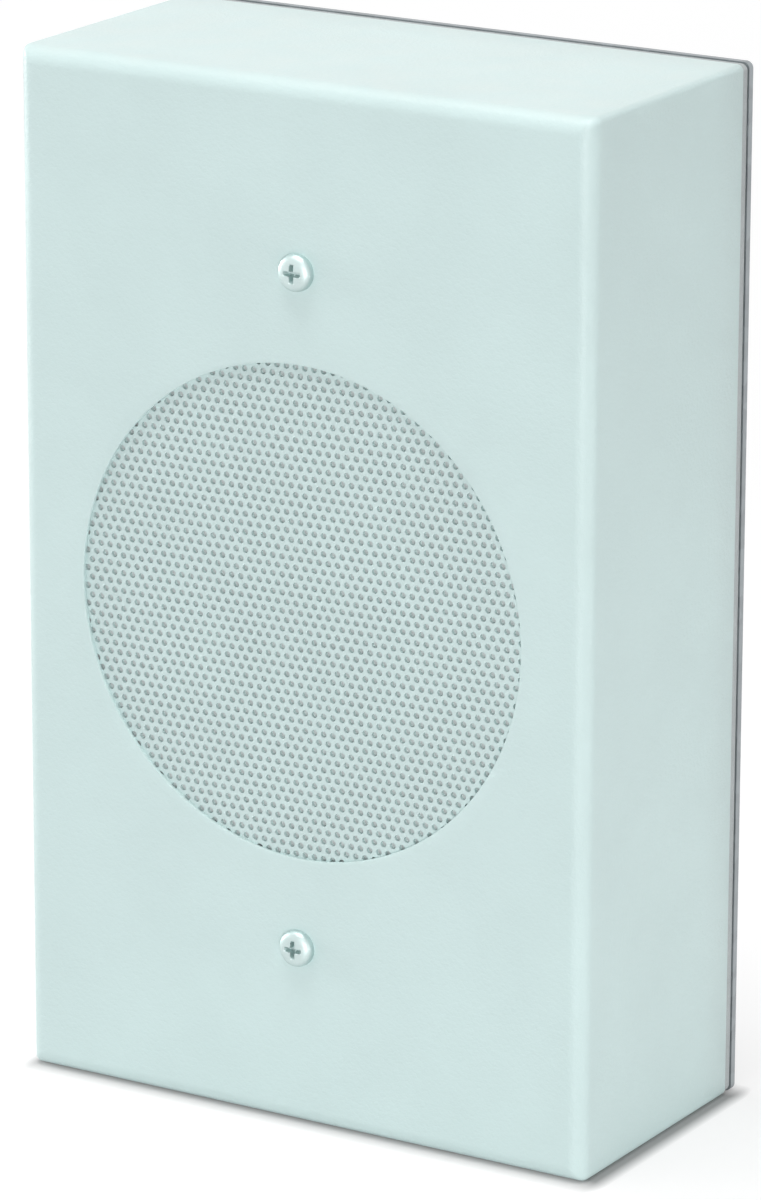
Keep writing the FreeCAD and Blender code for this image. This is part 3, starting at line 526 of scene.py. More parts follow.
    def wear_and_highlight(self, canvas: Canvas, given: Sockets) -> Sockets:
        """Rubbed outer edges, lightened as wear and as a painted highlight: the points of the mesh that
        stand out, broken up by noise.

        Args:
            canvas: Where the nodes go.
            given: The place on the surface, and the amount of wear.

        Returns:
            The mask of the wear and the painted edge highlight.
        """
        edge = canvas.spread(canvas.add("NewGeometry").outputs["Pointiness"], 0.0, 1.0, self.edge_span)
        noise = canvas.noise(given["Vector"], self.wear_and_highlight_patches, layers=5.0)
        rubbed_and_lit = canvas.sum_of("MULTIPLY", edge, canvas.spread(noise, 0.0, 1.0, self.wear_and_highlight_span))
        return {"Mask": canvas.sum_of("MULTIPLY", rubbed_and_lit, given["Amount"])}


effects = EffectLibrary()


class Coat(Canvas):
    """The nodes of one material: its shader, and the place on the surface that its patterns read."""

    def __init__(self, material: bpy.types.Material) -> None:
        """Start on a material.

        Args:
            material: The material, still bare.
        """
        material.use_nodes = True
        super().__init__(material.node_tree)
        self.shader = self.tree.nodes["Principled BSDF"]
        self.place = self.add("TexCoord").outputs["Object"]

    def set(self, name: str, value: object) -> None:
        """Feed one of the shader's own sockets."""
        self.feed(self.shader.inputs[name], value)

    def bump(self, height: object, depth: float, strength: float) -> None:
        """Give the surface a relief of the given depth."""
        relief = self.add("Bump", {"Height": height, "Distance": depth, "Strength": strength})
        self.set("Normal", relief.outputs[0])


@dataclass(frozen=True)
class Finish:
    """A finish: its slot, colour and roughness, with the detail that its kind adds.

    Patches are the clouds in a metre, clouds how far they change the tone, gloss how far the roughness
    varies, relief the depth of the bumps, and strength how much of it shows.
    """

    slot: Slot
    colour: Colour
    roughness: float
    patches: float = 110.0
    clouds: float = 0.06
    gloss: float = 0.06
    relief: float = 0.02 * MM
    strength: float = 0.5

    def material(self) -> bpy.types.Material:
        """Make the finish's material.

        Returns:
            A material named after the slot.
        """
        result = bpy.data.materials.new(self.slot.value)
        coat = Coat(result)
        coat.set("Roughness", self.roughness)
        self.detail(coat)
        return result

    def detail(self, coat: Coat) -> None:
        """Add what shows on the surface; each kind of finish has its own."""
        raise NotImplementedError

    def tint(self, share: float) -> Light:
        """The finish's colour, lighter or darker by a share."""
        return linear(tuple(min(channel * share, 255.0) for channel in self.colour))

    def clouded(self, coat: Coat) -> bpy.types.NodeSocket:
        """The colour with cloudy patches, some lighter and some darker."""
        mask = coat.effect(Effect.MOTTLE, {"Vector": coat.place, "Scale": self.patches})["Mask"]
        return coat.blend(mask, self.tint(1.0 - self.clouds), self.tint(1.0 + self.clouds))

    def vary_gloss(self, coat: Coat, mask: bpy.types.NodeSocket) -> None:
        """Let the roughness vary by a mask, about the finish's own value."""
        rough = coat.spread(mask, self.roughness - self.gloss, self.roughness + self.gloss)
        coat.set("Roughness", rough)


@dataclass(frozen=True)
class PowderCoat(Finish):
    """Baked powder paint: low bumps, a cloudy tone, edges lightened as wear and as a painted highlight, and
    a little dust.

    Its relief is a share of the peel, which is the width of a bump.
    """

    patches: float = 35.0
    clouds: float = 0.008
    gloss: float = 0.05
    relief: float = 0.11
    strength: float = 0.6
    peel: float = 1.3 * MM
    wear_and_highlight: float = 0.25
    worn_and_lit_tint: float = 1.12
    dust: float = 0.2
    dust_colour: Colour = (226, 226, 220)

    def detail(self, coat: Coat) -> None:
        """Colour, gloss and bumps of the paint.

        Args:
            coat: The material's nodes.
        """
        # Outer edges lightened: partly wear, partly a painted highlight on the bends
        rubbed_and_lit = coat.effect(Effect.WEAR_AND_HIGHLIGHT, {"Vector": coat.place, "Amount": self.wear_and_highlight})["Mask"]
        tone = coat.blend(rubbed_and_lit, self.clouded(coat), self.tint(self.worn_and_lit_tint))
        dusty = coat.effect(Effect.DUST, {"Vector": coat.place, "Amount": self.dust})["Mask"]
        coat.set("Base Color", coat.blend(dusty, tone, linear(self.dust_colour)))
        skin = coat.effect(Effect.PEEL, {"Vector": coat.place, "Scale": 1.0 / self.peel})
        self.vary_gloss(coat, skin["Gloss"])
        coat.bump(skin["Height"], self.relief * self.peel, self.strength)


@dataclass(frozen=True)
class PlainMetal(Finish):
    """Bare or plated metal with a clouded tone, and fine scratches drawn out along one axis."""

    patches: float = 60.0
    gloss: float = 0.08
    strength: float = 0.25
    grain: Axis = Axis.Z
    scratches: float = 2200.0
    drawn: float = 0.04

    def detail(self, coat: Coat) -> None:
        """Colour, gloss and scratches of the metal.

        Args:
            coat: The material's nodes.
        """
        coat.set("Metallic", 1.0)
        coat.set("Base Color", self.clouded(coat))
        scale = tuple(self.drawn if axis is self.grain else 1.0 for axis in Axis)
        stretched = coat.add("Mapping", {"Vector": coat.place, "Scale": scale}).outputs[0]
        brush = coat.effect(Effect.BRUSHED, {"Vector": stretched, "Scale": self.scratches})
        self.vary_gloss(coat, brush["Streak"])
        coat.bump(brush["Height"], self.relief, self.strength)


@dataclass(frozen=True)
class Spangle(Finish):
    """Galvanised sheet: flat crystals of zinc that differ in tone and gloss."""

    gloss: float = 0.04
    strength: float = 0.2
    crystal: float = 3.2 * MM
    dark_tint: float = 0.95
    pale_tint: float = 1.04
    bumps: float = 1200.0

    def detail(self, coat: Coat) -> None:
        """Colour, gloss and skin of the crystals.

        Args:
            coat: The material's nodes.
        """
        coat.set("Metallic", 1.0)
        cells = coat.add("TexVoronoi", {"Vector": coat.place, "Scale": 1.0 / self.crystal})
        tone = coat.add("SeparateXYZ", {0: cells.outputs["Color"]}).outputs["X"]
        coat.set("Base Color", coat.blend(tone, self.tint(self.dark_tint), self.tint(self.pale_tint)))
        self.vary_gloss(coat, tone)
        skin = coat.effect(Effect.PEEL, {"Vector": coat.place, "Scale": self.bumps})
        coat.bump(skin["Height"], self.relief, self.strength)


@dataclass(frozen=True)
class Banded(Finish):
    """Something laid in fine even bands: turns of wire, turns of tape or stacked sheets.

    Its relief is a share of the pitch.
    """

    patches: float = 140.0
    relief: float = 0.25
    strength: float = 0.7
    along: Axis = Axis.Y
    pitch: float = 0.4 * MM
    metallic: float = 0.0
    groove_shade: float = 0.55
    groove_shade_span: Span = (0.0, 0.5)
    groove_shade_tint: float = 0.45

    def detail(self, coat: Coat) -> None:
        """Colour, with painted shade in the grooves, and ridges of the bands.

        Args:
            coat: The material's nodes.
        """
        coat.set("Metallic", self.metallic)
        scale = 2 * math.pi / (WAVE_RADIANS * self.pitch)
        wave = coat.add("TexWave", {"Vector": coat.place, "Scale": scale}, bands_direction=self.along.value)
        ridge = wave.outputs["Fac"]
        # Painted shade: the grooves between the bands are darkened
        groove_shade = coat.spread(ridge, self.groove_shade, 0.0, self.groove_shade_span)
        coat.set("Base Color", coat.blend(groove_shade, self.clouded(coat), self.tint(self.groove_shade_tint)))
        coat.bump(ridge, self.relief * self.pitch, self.strength)


@dataclass(frozen=True)
class Woven(Finish):
    """Cloth in a plain weave, on the sheet's own plane or on the piece's texture places.

    Its relief is a share of the pitch, which is the width of a thread.
    """

    patches: float = 90.0
    clouds: float = 0.03
    relief: float = 0.2
    strength: float = 0.8
    pitch: float = 0.6 * MM
    on_places: bool = False
    sheen: float = 0.25
    gap: float = 0.5
    gap_shade_tint: float = 0.7
    slub: float = 0.12
    slub_tint: float = 1.08

    def detail(self, coat: Coat) -> None:
        """Colour, with painted shade between the threads, and threads of the cloth.

        Args:
            coat: The material's nodes.
        """
        coat.set("Sheen Weight", self.sheen)
        lay = coat.add("UVMap", uv_map="places").outputs[0] if self.on_places else coat.place
        ways = coat.add("SeparateXYZ", {0: lay}).outputs
        along = ways["Y"] if self.on_places else ways["Z"]
        cloth = coat.effect(Effect.WEAVE, {"Across": ways["X"], "Along": along, "Pitch": self.pitch})
        # Painted shade: the low places between the threads are darkened
        gap = coat.spread(cloth["Height"], self.gap, 0.0)
        shaded = coat.blend(gap, self.clouded(coat), self.tint(self.gap_shade_tint))
        slub = coat.spread(cloth["Thread"], 0.0, self.slub)
        coat.set("Base Color", coat.blend(slub, shaded, self.tint(self.slub_tint)))
        coat.bump(cloth["Height"], self.relief * self.pitch, self.strength)


@dataclass(frozen=True)
class Cellular(Finish):
    """Foam or rubber: fine pores, darkened by painted shade, in a dull skin."""

    patches: float = 160.0
    relief: float = 0.12 * MM
    strength: float = 0.8
    pore: float = 0.5 * MM
    pore_shade: float = 0.3
    pore_shade_tint: float = 0.6

    def detail(self, coat: Coat) -> None:
        """Colour, with painted shade in the pores, and pores of the foam.

        Args:
            coat: The material's nodes.
        """
        skin = coat.effect(Effect.PEEL, {"Vector": coat.place, "Scale": 1.0 / self.pore})
        # Painted shade: the pores are darkened
        shade = coat.spread(skin["Gloss"], self.pore_shade, 0.0)
        coat.set("Base Color", coat.blend(shade, self.clouded(coat), self.tint(self.pore_shade_tint)))
        self.vary_gloss(coat, skin["Gloss"])
        coat.bump(skin["Height"], self.relief, self.strength)


@dataclass(frozen=True)
class Fibrous(Finish):
    """Pressed paper or board: short fibres in a mat surface."""

    gloss: float = 0.05
    relief: float = 0.08 * MM
    fibre: float = 0.9 * MM
    fibre_span: Span = (0.35, 0.65)
    tangle: float = 1.6
    dark_tint: float = 0.82
    pale_tint: float = 1.14

    def detail(self, coat: Coat) -> None:
        """Colour and fibres of the paper.

        Args:
            coat: The material's nodes.
        """
        fibres = coat.noise(coat.place, 1.0 / self.fibre, layers=7.0, warp=self.tangle)
        share = coat.spread(fibres, 0.0, 1.0, self.fibre_span)
        coat.set("Base Color", coat.blend(share, self.tint(self.dark_tint), self.tint(self.pale_tint)))
        self.vary_gloss(coat, share)
        coat.bump(fibres, self.relief, self.strength)


@dataclass(frozen=True)
class Moulded(Finish):
    """Moulded plastic, glaze or fired powder: a fine skin with faint clouds."""

    clouds: float = 0.03
    relief: float = 0.03 * MM
    strength: float = 0.4
    skin: float = 0.8 * MM

    def detail(self, coat: Coat) -> None:
        """Colour and skin of the moulding.

        Args:
            coat: The material's nodes.
        """
        coat.set("Base Color", self.clouded(coat))
        skin = coat.effect(Effect.PEEL, {"Vector": coat.place, "Scale": 1.0 / self.skin})
        self.vary_gloss(coat, skin["Gloss"])
        coat.bump(skin["Height"], self.relief, self.strength)


FINISHES = (
    PowderCoat(Slot.COVER, (205, 225, 224), 0.36),
    PowderCoat(Slot.GRILLE, (202, 221, 220), 0.46, peel=0.7 * MM, wear_and_highlight=0.1, dust=0.1),
    PlainMetal(Slot.SCREW, (200, 215, 214), 0.5, grain=Axis.X),
    Spangle(Slot.ZINC, (158, 164, 167), 0.42),
    Cellular(Slot.SEAL, (190, 196, 197), 0.85, clouds=0.015),
    Woven(Slot.DUST_CLOTH, (212, 217, 217), 0.9, pitch=0.45 * MM),
    PlainMetal(Slot.HARDWARE, (186, 186, 180), 0.36, grain=Axis.Y),
    PowderCoat(Slot.FRAME, (54, 56, 59), 0.4, dust=0.0),
    Woven(Slot.EDGE_CLOTH, (42, 37, 33), 0.85, on_places=True),
    Fibrous(Slot.CONE, (46, 43, 40), 0.85),
    Fibrous(Slot.FORMER, (142, 104, 66), 0.7),
    Banded(Slot.COPPER, (186, 106, 60), 0.3, pitch=0.25 * MM, metallic=1.0),
    Woven(Slot.SPIDER, (184, 142, 66), 0.8, on_places=True),
    PlainMetal(Slot.IRON, (156, 156, 150), 0.4, grain=Axis.X),
    Cellular(Slot.FERRITE, (30, 30, 32), 0.65, pore=0.3 * MM, relief=0.02 * MM),
    Fibrous(Slot.BOARD, (110, 68, 38), 0.5, fibre=0.5 * MM),
    PlainMetal(Slot.BRASS, (196, 160, 84), 0.3, grain=Axis.Z),
    PlainMetal(Slot.TINSEL, (200, 170, 116), 0.4, grain=Axis.Z),
    Banded(Slot.CORE, (98, 98, 104), 0.45, along=Axis.Z, pitch=0.5 * MM, metallic=1.0),
    Moulded(Slot.BOBBIN, (218, 212, 196), 0.5),
    Banded(Slot.TAPE, (206, 168, 48), 0.35, pitch=6.0 * MM),
    Moulded(Slot.CERAMIC, (231, 226, 210), 0.25),
    Cellular(Slot.RUBBER, (27, 27, 27), 0.7, pore=0.4 * MM, relief=0.03 * MM),
    Moulded(Slot.LEAD, (142, 32, 27), 0.4),
    Moulded(Slot.TAP, (52, 78, 142), 0.4),
)


class Wardrobe:
    """The materials of all finishes, ready to be put on pieces."""

    def __init__(self) -> None:
        """Make each finish's material once."""
        self.materials = {finish.slot: finish.material() for finish in FINISHES}

    def dress(self, piece: bpy.types.Object, slot: Slot) -> None:
        """Put a finish on a piece, in place of what it had."""
        piece.data.materials.clear()
        piece.data.materials.append(self.materials[slot])

    def place(self, piece: bpy.types.Object, slot: Slot, body: Body, *nodes: str) -> None:
        """Dress a new piece, tie it to its body and let it stand for its nodes.

        Args:
            piece: The finished piece.
            slot: Its finish.
            body: The body that it rides on.
            nodes: Nodes of the solids that it stands for.
        """
        self.dress(piece, slot)
        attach(piece, body.value)
        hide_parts(*nodes)
        log.info("%s: %d faces, stands for %s", piece.name, len(piece.data.polygons), ", ".join(nodes))

    def stretch(self, piece: bpy.types.Object, slot: Slot, node: str) -> None:
        """Dress a soft piece, bake its place into its mesh and hide the node that it stands for.

        Args:
            piece: The finished piece.
            slot: Its finish.
            node: Node of the solids that it stands for.
        """
        self.dress(piece, slot)
        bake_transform(piece)
        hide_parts(node)
        log.info("%s: %d faces, bends for %s", piece.name, len(piece.data.polygons), node)

    def dress_solids(self) -> None:
        """Put each solid's own finish on it, as the record names it."""
        for row in frame["record"]["subparts"]:
            self.dress(frame["nodes"][row["node"]], Slot(row["material_slot"]))
            log.info("%s: solid in %s", row["node"], row["material_slot"])


# Sheets

def in_rounded_square(spots: Array, half: float, corner: float) -> Array:
    """Move places that lie outside a square with round corners onto its outline.

    What a place exceeds the straight part by, in each direction, is shortened to the corner's radius.

    Args:
        spots: Rows of a place across and a place up.
        half: Half of the square's width.
        corner: Radius of its corners.

    Returns:
        The places, all inside the outline or on it.
    """
    straight = half - corner
    over = np.maximum(np.abs(spots) - straight, 0.0)
    length = np.maximum(np.hypot(over[..., 0], over[..., 1]), MERGE_DISTANCE)
    over = over * np.minimum(1.0, corner / length)[..., None]
    return np.sign(spots) * (np.minimum(np.abs(spots), straight) + over)


def areas(corners: Array) -> Array:
    """The area of each polygon of a row of flat polygons, by the sum of its cross products."""
    ahead = np.roll(corners, -1, axis=1)
    return 0.5 * np.abs((corners[..., 0] * ahead[..., 1] - corners[..., 1] * ahead[..., 0]).sum(axis=1))


def at_depth(spots: Array, depth: float) -> Array:
    """Flat places as points at one depth."""
    return np.stack([spots[:, 0], np.full(len(spots), depth), spots[:, 1]], axis=-1)


def punched_sheet(half: float, corner: float, step: float, holes: Array, depth: float) -> Surface:
    """A flat square sheet with round corners and round holes.

    It is a square grid. Grid points inside a hole move out to the hole's edge, and a quad whose four
    corners were all in one hole is left out.

    Args:
        half: Half of the sheet's width.
        corner: Radius of its corners.
        step: Width of a quad.
        holes: Rows of a hole's place across, its place up and its radius.
        depth: Depth of the sheet's face.

    Returns:
        The surface, facing the front.
    """
    line = np.linspace(-half, half, round(2 * half / step) + 1)
    spots = np.stack(np.meshgrid(line, line), axis=-1).reshape(-1, 2)
    quads = grid_faces(len(line), len(line))[:, ::-1]
    kept = np.ones(len(quads), dtype=bool)
    for across, up, radius in holes:
        middle = np.array([across, up])
        gap = np.maximum(np.linalg.norm(spots - middle, axis=1), MERGE_DISTANCE)
        inside = gap < radius
        kept &= ~inside[quads].all(axis=1)
        spots[inside] = middle + (spots[inside] - middle) * (radius / gap[inside])[:, None]
    spots = in_rounded_square(spots, half, corner)
    kept &= areas(spots[quads]) > SLIVER * step ** 2
    return Surface(at_depth(spots, depth), [quads[kept]])


def square_of_holes(pitch: float, radius: float) -> list[tuple[float, float, float]]:
    """Four like holes at the corners of a square."""
    half = pitch / 2
    return [(side * half, level * half, radius) for side in (-1, 1) for level in (-1, 1)]


# Cabinet

@dataclass(frozen=True)
class Outline:
    """Stations round a rectangle with round corners, as one closed row.

    Each station has its share of the straight half widths and the angle in which the corner pushes it out.
    """

    across: Array
    up: Array
    angle: Array

    @classmethod
    def around(cls, across: Array, up: Array, corner_steps: int) -> "Outline":
        """Stations along the four sides, with an arc of stations between each two.

        Args:
            across: Shares from -1 to 1 along the level sides.
            up: Shares from -1 to 1 along the upright sides.
            corner_steps: Steps in a corner's quarter turn.

        Returns:
            The stations, from the lower left corner to the right and round.
        """
        arc = np.linspace(0.0, math.pi / 2, corner_steps + 1)[1:-1]
        sides = [(across, -1.0), (1.0, up), (across[::-1], 1.0), (-1.0, up[::-1])]
        shares, angles = [], []
        for turn, side in enumerate(sides):
            straight = np.stack(np.broadcast_arrays(*side), axis=-1)
            shares += [straight, np.repeat(straight[-1:], len(arc), axis=0)]
            square = (turn - 1) * math.pi / 2
            angles += [np.full(len(straight), square), arc + square]
        stations = np.concatenate(shares)
        return cls(stations[:, 0], stations[:, 1], np.concatenate(angles))

    def rows(
        self, half_width: float, half_height: float, inset: Array, corner: Array, depth: Array
    ) -> Array:
        """Rows of points round the outline.

        A point is the share of the straight half width left by inset and corner, pushed out by the corner.

        Args:
            half_width: Half of the outer width.
            half_height: Half of the outer height.
            inset: How far each row lies inside the outer outline.
            corner: Corner radius of each row.
            depth: Depth of each row.

        Returns:
            An array of rows, stations and coordinates.
        """
        inset, corner, depth = inset[:, None], corner[:, None], depth[:, None]
        x = self.across * (half_width - inset - corner) + np.cos(self.angle) * corner
        z = self.up * (half_height - inset - corner) + np.sin(self.angle) * corner
        return np.stack(np.broadcast_arrays(x, depth, z), axis=-1)


@dataclass
class FrontCover:
    """The folded cover: front, four sides, round opening and two screw holes."""

    gauge: float = 1.2 * MM
    bend: float = 4.5 * MM
    seam: float = 1.8 * MM
    opening: float = 64.0 * MM
    screw_hole: float = 2.75 * MM
    field_edge: float = 70.0 * MM
    support: float = 0.6 * MM
    edge: float = 0.2 * MM
    steps_across: int = 48
    steps_middle: int = 44
    steps_end: int = 18
    steps_bend: int = 14
    steps_corner: int = 8
    steps_side: int = 6
    rings: int = 9

    def field(self, across: Array, up: Array, middle: float, radius: float, depth: float) -> Surface:
        """A rectangle of the front with a round hole in it.

        A point lies on the straight line from the hole's edge to the rectangle's edge, at equal shares.

        Args:
            across: Places along its level sides.
            up: Places along its upright sides.
            middle: Height of the hole's middle.
            radius: Radius of the hole.
            depth: Depth of the front.

        Returns:
            The surface between the hole and the rectangle.
        """
        sides = [(across, up[0]), (across[-1], up[1:]), (across[-2::-1], up[-1]), (across[0], up[-2:0:-1])]
        rim = np.concatenate([np.stack(np.broadcast_arrays(*side), axis=-1) for side in sides])
        angle = np.arctan2(rim[:, 1] - middle, rim[:, 0])
        hole = np.stack([radius * np.cos(angle), middle + radius * np.sin(angle)], axis=-1)
        share = np.linspace(0.0, 1.0, self.rings + 1)[:, None, None]
        spots = (hole + (rim - hole) * share).reshape(-1, 2)
        return Surface(at_depth(spots, depth), [grid_faces(self.rings + 1, len(rim), round_columns=True)])

    def build(self, wardrobe: Wardrobe) -> None:
        """Make the cover.

        The bend turns by an angle from the front to the side: a row lies inside the outline by the bend
        radius times one less the sine, and behind the front by the bend radius times one less the cosine.
        The corner's radius grows with the sine, from a point on the front to the seam's radius on the side.

        Args:
            wardrobe: Gives the finish.
        """
        low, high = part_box("front_cover")
        half_width, half_height, front = high.x, high.z, low.y
        screw_low, screw_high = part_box("cover_screw_top")
        screw_up = (screw_low.z + screw_high.z) / 2
        flat = half_height - self.bend
        ends = np.linspace(self.field_edge, flat, self.steps_end + 1)
        centre = np.linspace(-self.field_edge, self.field_edge, self.steps_middle + 1)
        up = np.concatenate([-ends[::-1], centre[1:-1], ends]) / flat
        across = np.linspace(-1.0, 1.0, self.steps_across + 1)
        outline = Outline.around(across, up, self.steps_corner)

        turn = np.linspace(0.0, math.pi / 2, self.steps_bend + 1)
        sides = np.linspace(front + self.bend + self.support, high.y, self.steps_side)
        flush = np.zeros(self.steps_side)
        inset = np.concatenate([[self.bend + self.support], self.bend * (1 - np.sin(turn)), flush])
        corner = np.concatenate([[0.0], self.seam * np.sin(turn), flush + self.seam])
        depth = np.concatenate([[front], front + self.bend * (1 - np.cos(turn)), sides])
        rows = outline.rows(half_width, half_height, inset, corner, depth)
        shell = Surface(rows.reshape(-1, 3), [grid_faces(len(rows), rows.shape[1], round_columns=True)])

        across = across * (half_width - inset[0])
        up = up * (half_height - inset[0])
        lower, upper = self.steps_end, self.steps_end + self.steps_middle
        fields = [
            self.field(across, up[: lower + 1], -screw_up, self.screw_hole, front),
            self.field(across, up[lower: upper + 1], 0.0, self.opening, front),
            self.field(across, up[upper:], screw_up, self.screw_hole, front),
        ]
        cover = new_piece("cover_shell", joined(shell, *fields))
        thicken(cover, self.gauge)
        soften(cover, self.edge)
        wardrobe.place(settle(cover), Slot.COVER, Body.CABINET, "front_cover")


@dataclass
class Grille:
    """The perforated sheet behind the opening: round holes in staggered rows."""

    pitch: float = 2.7 * MM
    hole: float = 0.85 * MM
    field: float = 65.5 * MM
    corner: float = SHEET_CORNER
    stud_pitch: float = STUD_PITCH
    stud_room: float = 3.6 * MM
    corners_of_hole: int = 12

    def build(self, wardrobe: Wardrobe) -> None:
        """Make the sheet.

        It is a honeycomb of six-sided cells. A cell inside the field is a ring of quads from its edge to
        its round hole, and one outside is a plain face, moved inside the sheet's outline.

        Args:
            wardrobe: Gives the finish.
        """
        low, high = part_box("grille_disc")
        half = high.x
        row_pitch = self.pitch * math.sqrt(3) / 2
        reach = math.ceil(half / row_pitch) + 1
        column, row = np.meshgrid(np.arange(-reach, reach + 1), np.arange(-reach, reach + 1))
        across = self.pitch * (column + 0.5 * (row % 2))
        centres = np.stack([across, row_pitch * row], axis=-1).reshape(-1, 2)
        from_stud = np.linalg.norm(np.abs(centres) - self.stud_pitch / 2, axis=1)
        centres = centres[(np.abs(centres).max(axis=1) < half + self.pitch) & (from_stud > self.stud_room)]

        step = np.arange(self.corners_of_hole)
        angle = 2 * math.pi * step / self.corners_of_hole
        way = np.stack([np.cos(angle), np.sin(angle)], axis=-1)
        to_edge = np.where(step % 2, self.pitch / math.sqrt(3), self.pitch / 2)
        cells = in_rounded_square(centres[:, None] + way * to_edge[:, None], half, self.corner)
        punched = np.linalg.norm(centres, axis=1) < self.field - self.hole
        plain = cells[~punched & (areas(cells) > SLIVER * self.pitch ** 2)].reshape(-1, 2)
        rings = np.concatenate([cells[punched], centres[punched][:, None] + way * self.hole], axis=1)

        count = self.corners_of_hole
        after = (step + 1) % count
        ring = np.stack([step, after, count + after, count + step], axis=-1)
        starts = 2 * count * np.arange(len(rings))
        ring_faces = (starts[:, None, None] + ring).reshape(-1, 4)
        plain_faces = np.arange(len(plain)).reshape(-1, count)
        sheet = joined(
            Surface(at_depth(rings.reshape(-1, 2), low.y), [ring_faces]),
            Surface(at_depth(plain, low.y), [plain_faces]),
        )
        grille = new_piece("grille_sheet", sheet, outward=False)
        thicken(grille, high.y - low.y)
        wardrobe.place(settle(grille), Slot.GRILLE, Body.CABINET, "grille_disc")


@dataclass
class Seat:
    """What lies between the grille and the driver: the dust cloth and the foam gasket."""

    stud_pitch: float = STUD_PITCH
    stud_hole: float = 2.25 * MM
    cloth_corner: float = SHEET_CORNER
    cloth_step: float = 1.5 * MM
    gasket_corner: float = 16.0 * MM
    gasket_bore: float = 59.0 * MM
    gasket_step: float = 1.4 * MM
    gasket_edge: float = 0.5 * MM

    def build(self, wardrobe: Wardrobe) -> None:
        """Make the cloth and the gasket, each a punched sheet with its thickness.

        Args:
            wardrobe: Gives the finishes.
        """
        studs = square_of_holes(self.stud_pitch, self.stud_hole)
        low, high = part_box("dust_cloth")
        flat = punched_sheet(high.x, self.cloth_corner, self.cloth_step, np.array(studs), low.y)
        cloth = new_piece("woven_cloth", flat, outward=False)
        thicken(cloth, high.y - low.y)
        wardrobe.place(settle(cloth), Slot.DUST_CLOTH, Body.CABINET, "dust_cloth")

        low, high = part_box("baffle_gasket")
        holes = np.array([*studs, (0.0, 0.0, self.gasket_bore)])
        flat = punched_sheet(high.x, self.gasket_corner, self.gasket_step, holes, low.y)
        gasket = new_piece("foam_gasket", flat, outward=False)
        thicken(gasket, high.y - low.y)
        soften(gasket, self.gasket_edge)
        wardrobe.place(settle(gasket), Slot.SEAL, Body.CABINET, "baffle_gasket")


@dataclass
class RearSeal:
    """The foam frame between the cover's rear edge and the back plate."""

    width: float = 9.0 * MM
    bulge: float = 0.3 * MM
    corner: float = 1.8 * MM
    squareness: float = 9.0
    sharp: float = 60.0
    steps: int = 40
    steps_side: int = 24
    steps_corner: int = 6

    def build(self, wardrobe: Wardrobe) -> None:
        """Make the seal.

        Its section is a rounded oblong: a circle's cosine and sine, each raised to two over the
        squareness, times half the width and half the thickness. It is carried round the outline, and
        pressed out past the solid's edge by the bulge.

        Args:
            wardrobe: Gives the finish.
        """
        low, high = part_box("rear_seal")
        turn = np.linspace(0.0, 2 * math.pi, self.steps, endpoint=False)
        power = 2 / self.squareness
        wide = np.sign(np.cos(turn)) * np.abs(np.cos(turn)) ** power
        thick = np.sign(np.sin(turn)) * np.abs(np.sin(turn)) ** power
        inset = self.width / 2 * (1 - wide)
        depth = (low.y + high.y) / 2 + (high.y - low.y) / 2 * thick
        shares = np.linspace(-1.0, 1.0, self.steps_side)
        outline = Outline.around(shares, shares, self.steps_corner)
        half_width, half_height = high.x + self.bulge, high.z + self.bulge
        rows = outline.rows(half_width, half_height, inset, np.maximum(self.corner - inset, 0.0), depth)
        faces = grid_faces(self.steps, rows.shape[1], round_rows=True, round_columns=True)
        seal = new_piece("foam_seal", Surface(rows.reshape(-1, 3), [faces]))
        wardrobe.place(settle(seal, self.sharp), Slot.SEAL, Body.CABINET, "rear_seal")


@dataclass
class Grommet:
    """The rubber bush of the cable entry, with rounded lips."""

    bore: float = 4.5 * MM
    waist: float = 6.95 * MM
    lip: float = 2.0 * MM
    rounding: float = 0.6 * MM
    steps_rounding: int = 4
    steps_round: int = 72

    def build(self, wardrobe: Wardrobe) -> None:
        """Make the bush: a flange on the plate's inner face and a waist through the plate, turned.

        Args:
            wardrobe: Gives the finish.
        """
        low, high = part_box("cable_grommet")
        flange, seat = (high.x - low.x) / 2, low.y + self.lip
        profile = np.array([
            (self.bore, low.y), (flange, low.y), (flange, seat),
            (self.waist, seat), (self.waist, high.y), (self.bore, high.y),
        ])
        turned = lathe(profile, self.steps_round)
        middle = np.array([(low.x + high.x) / 2, 0.0, (low.z + high.z) / 2])
        bush = new_piece("rubber_bush", Surface(turned.points + middle, turned.faces))
        soften(bush, self.rounding, self.steps_rounding)
        wardrobe.place(settle(bush), Slot.RUBBER, Body.CABINET, "cable_grommet")


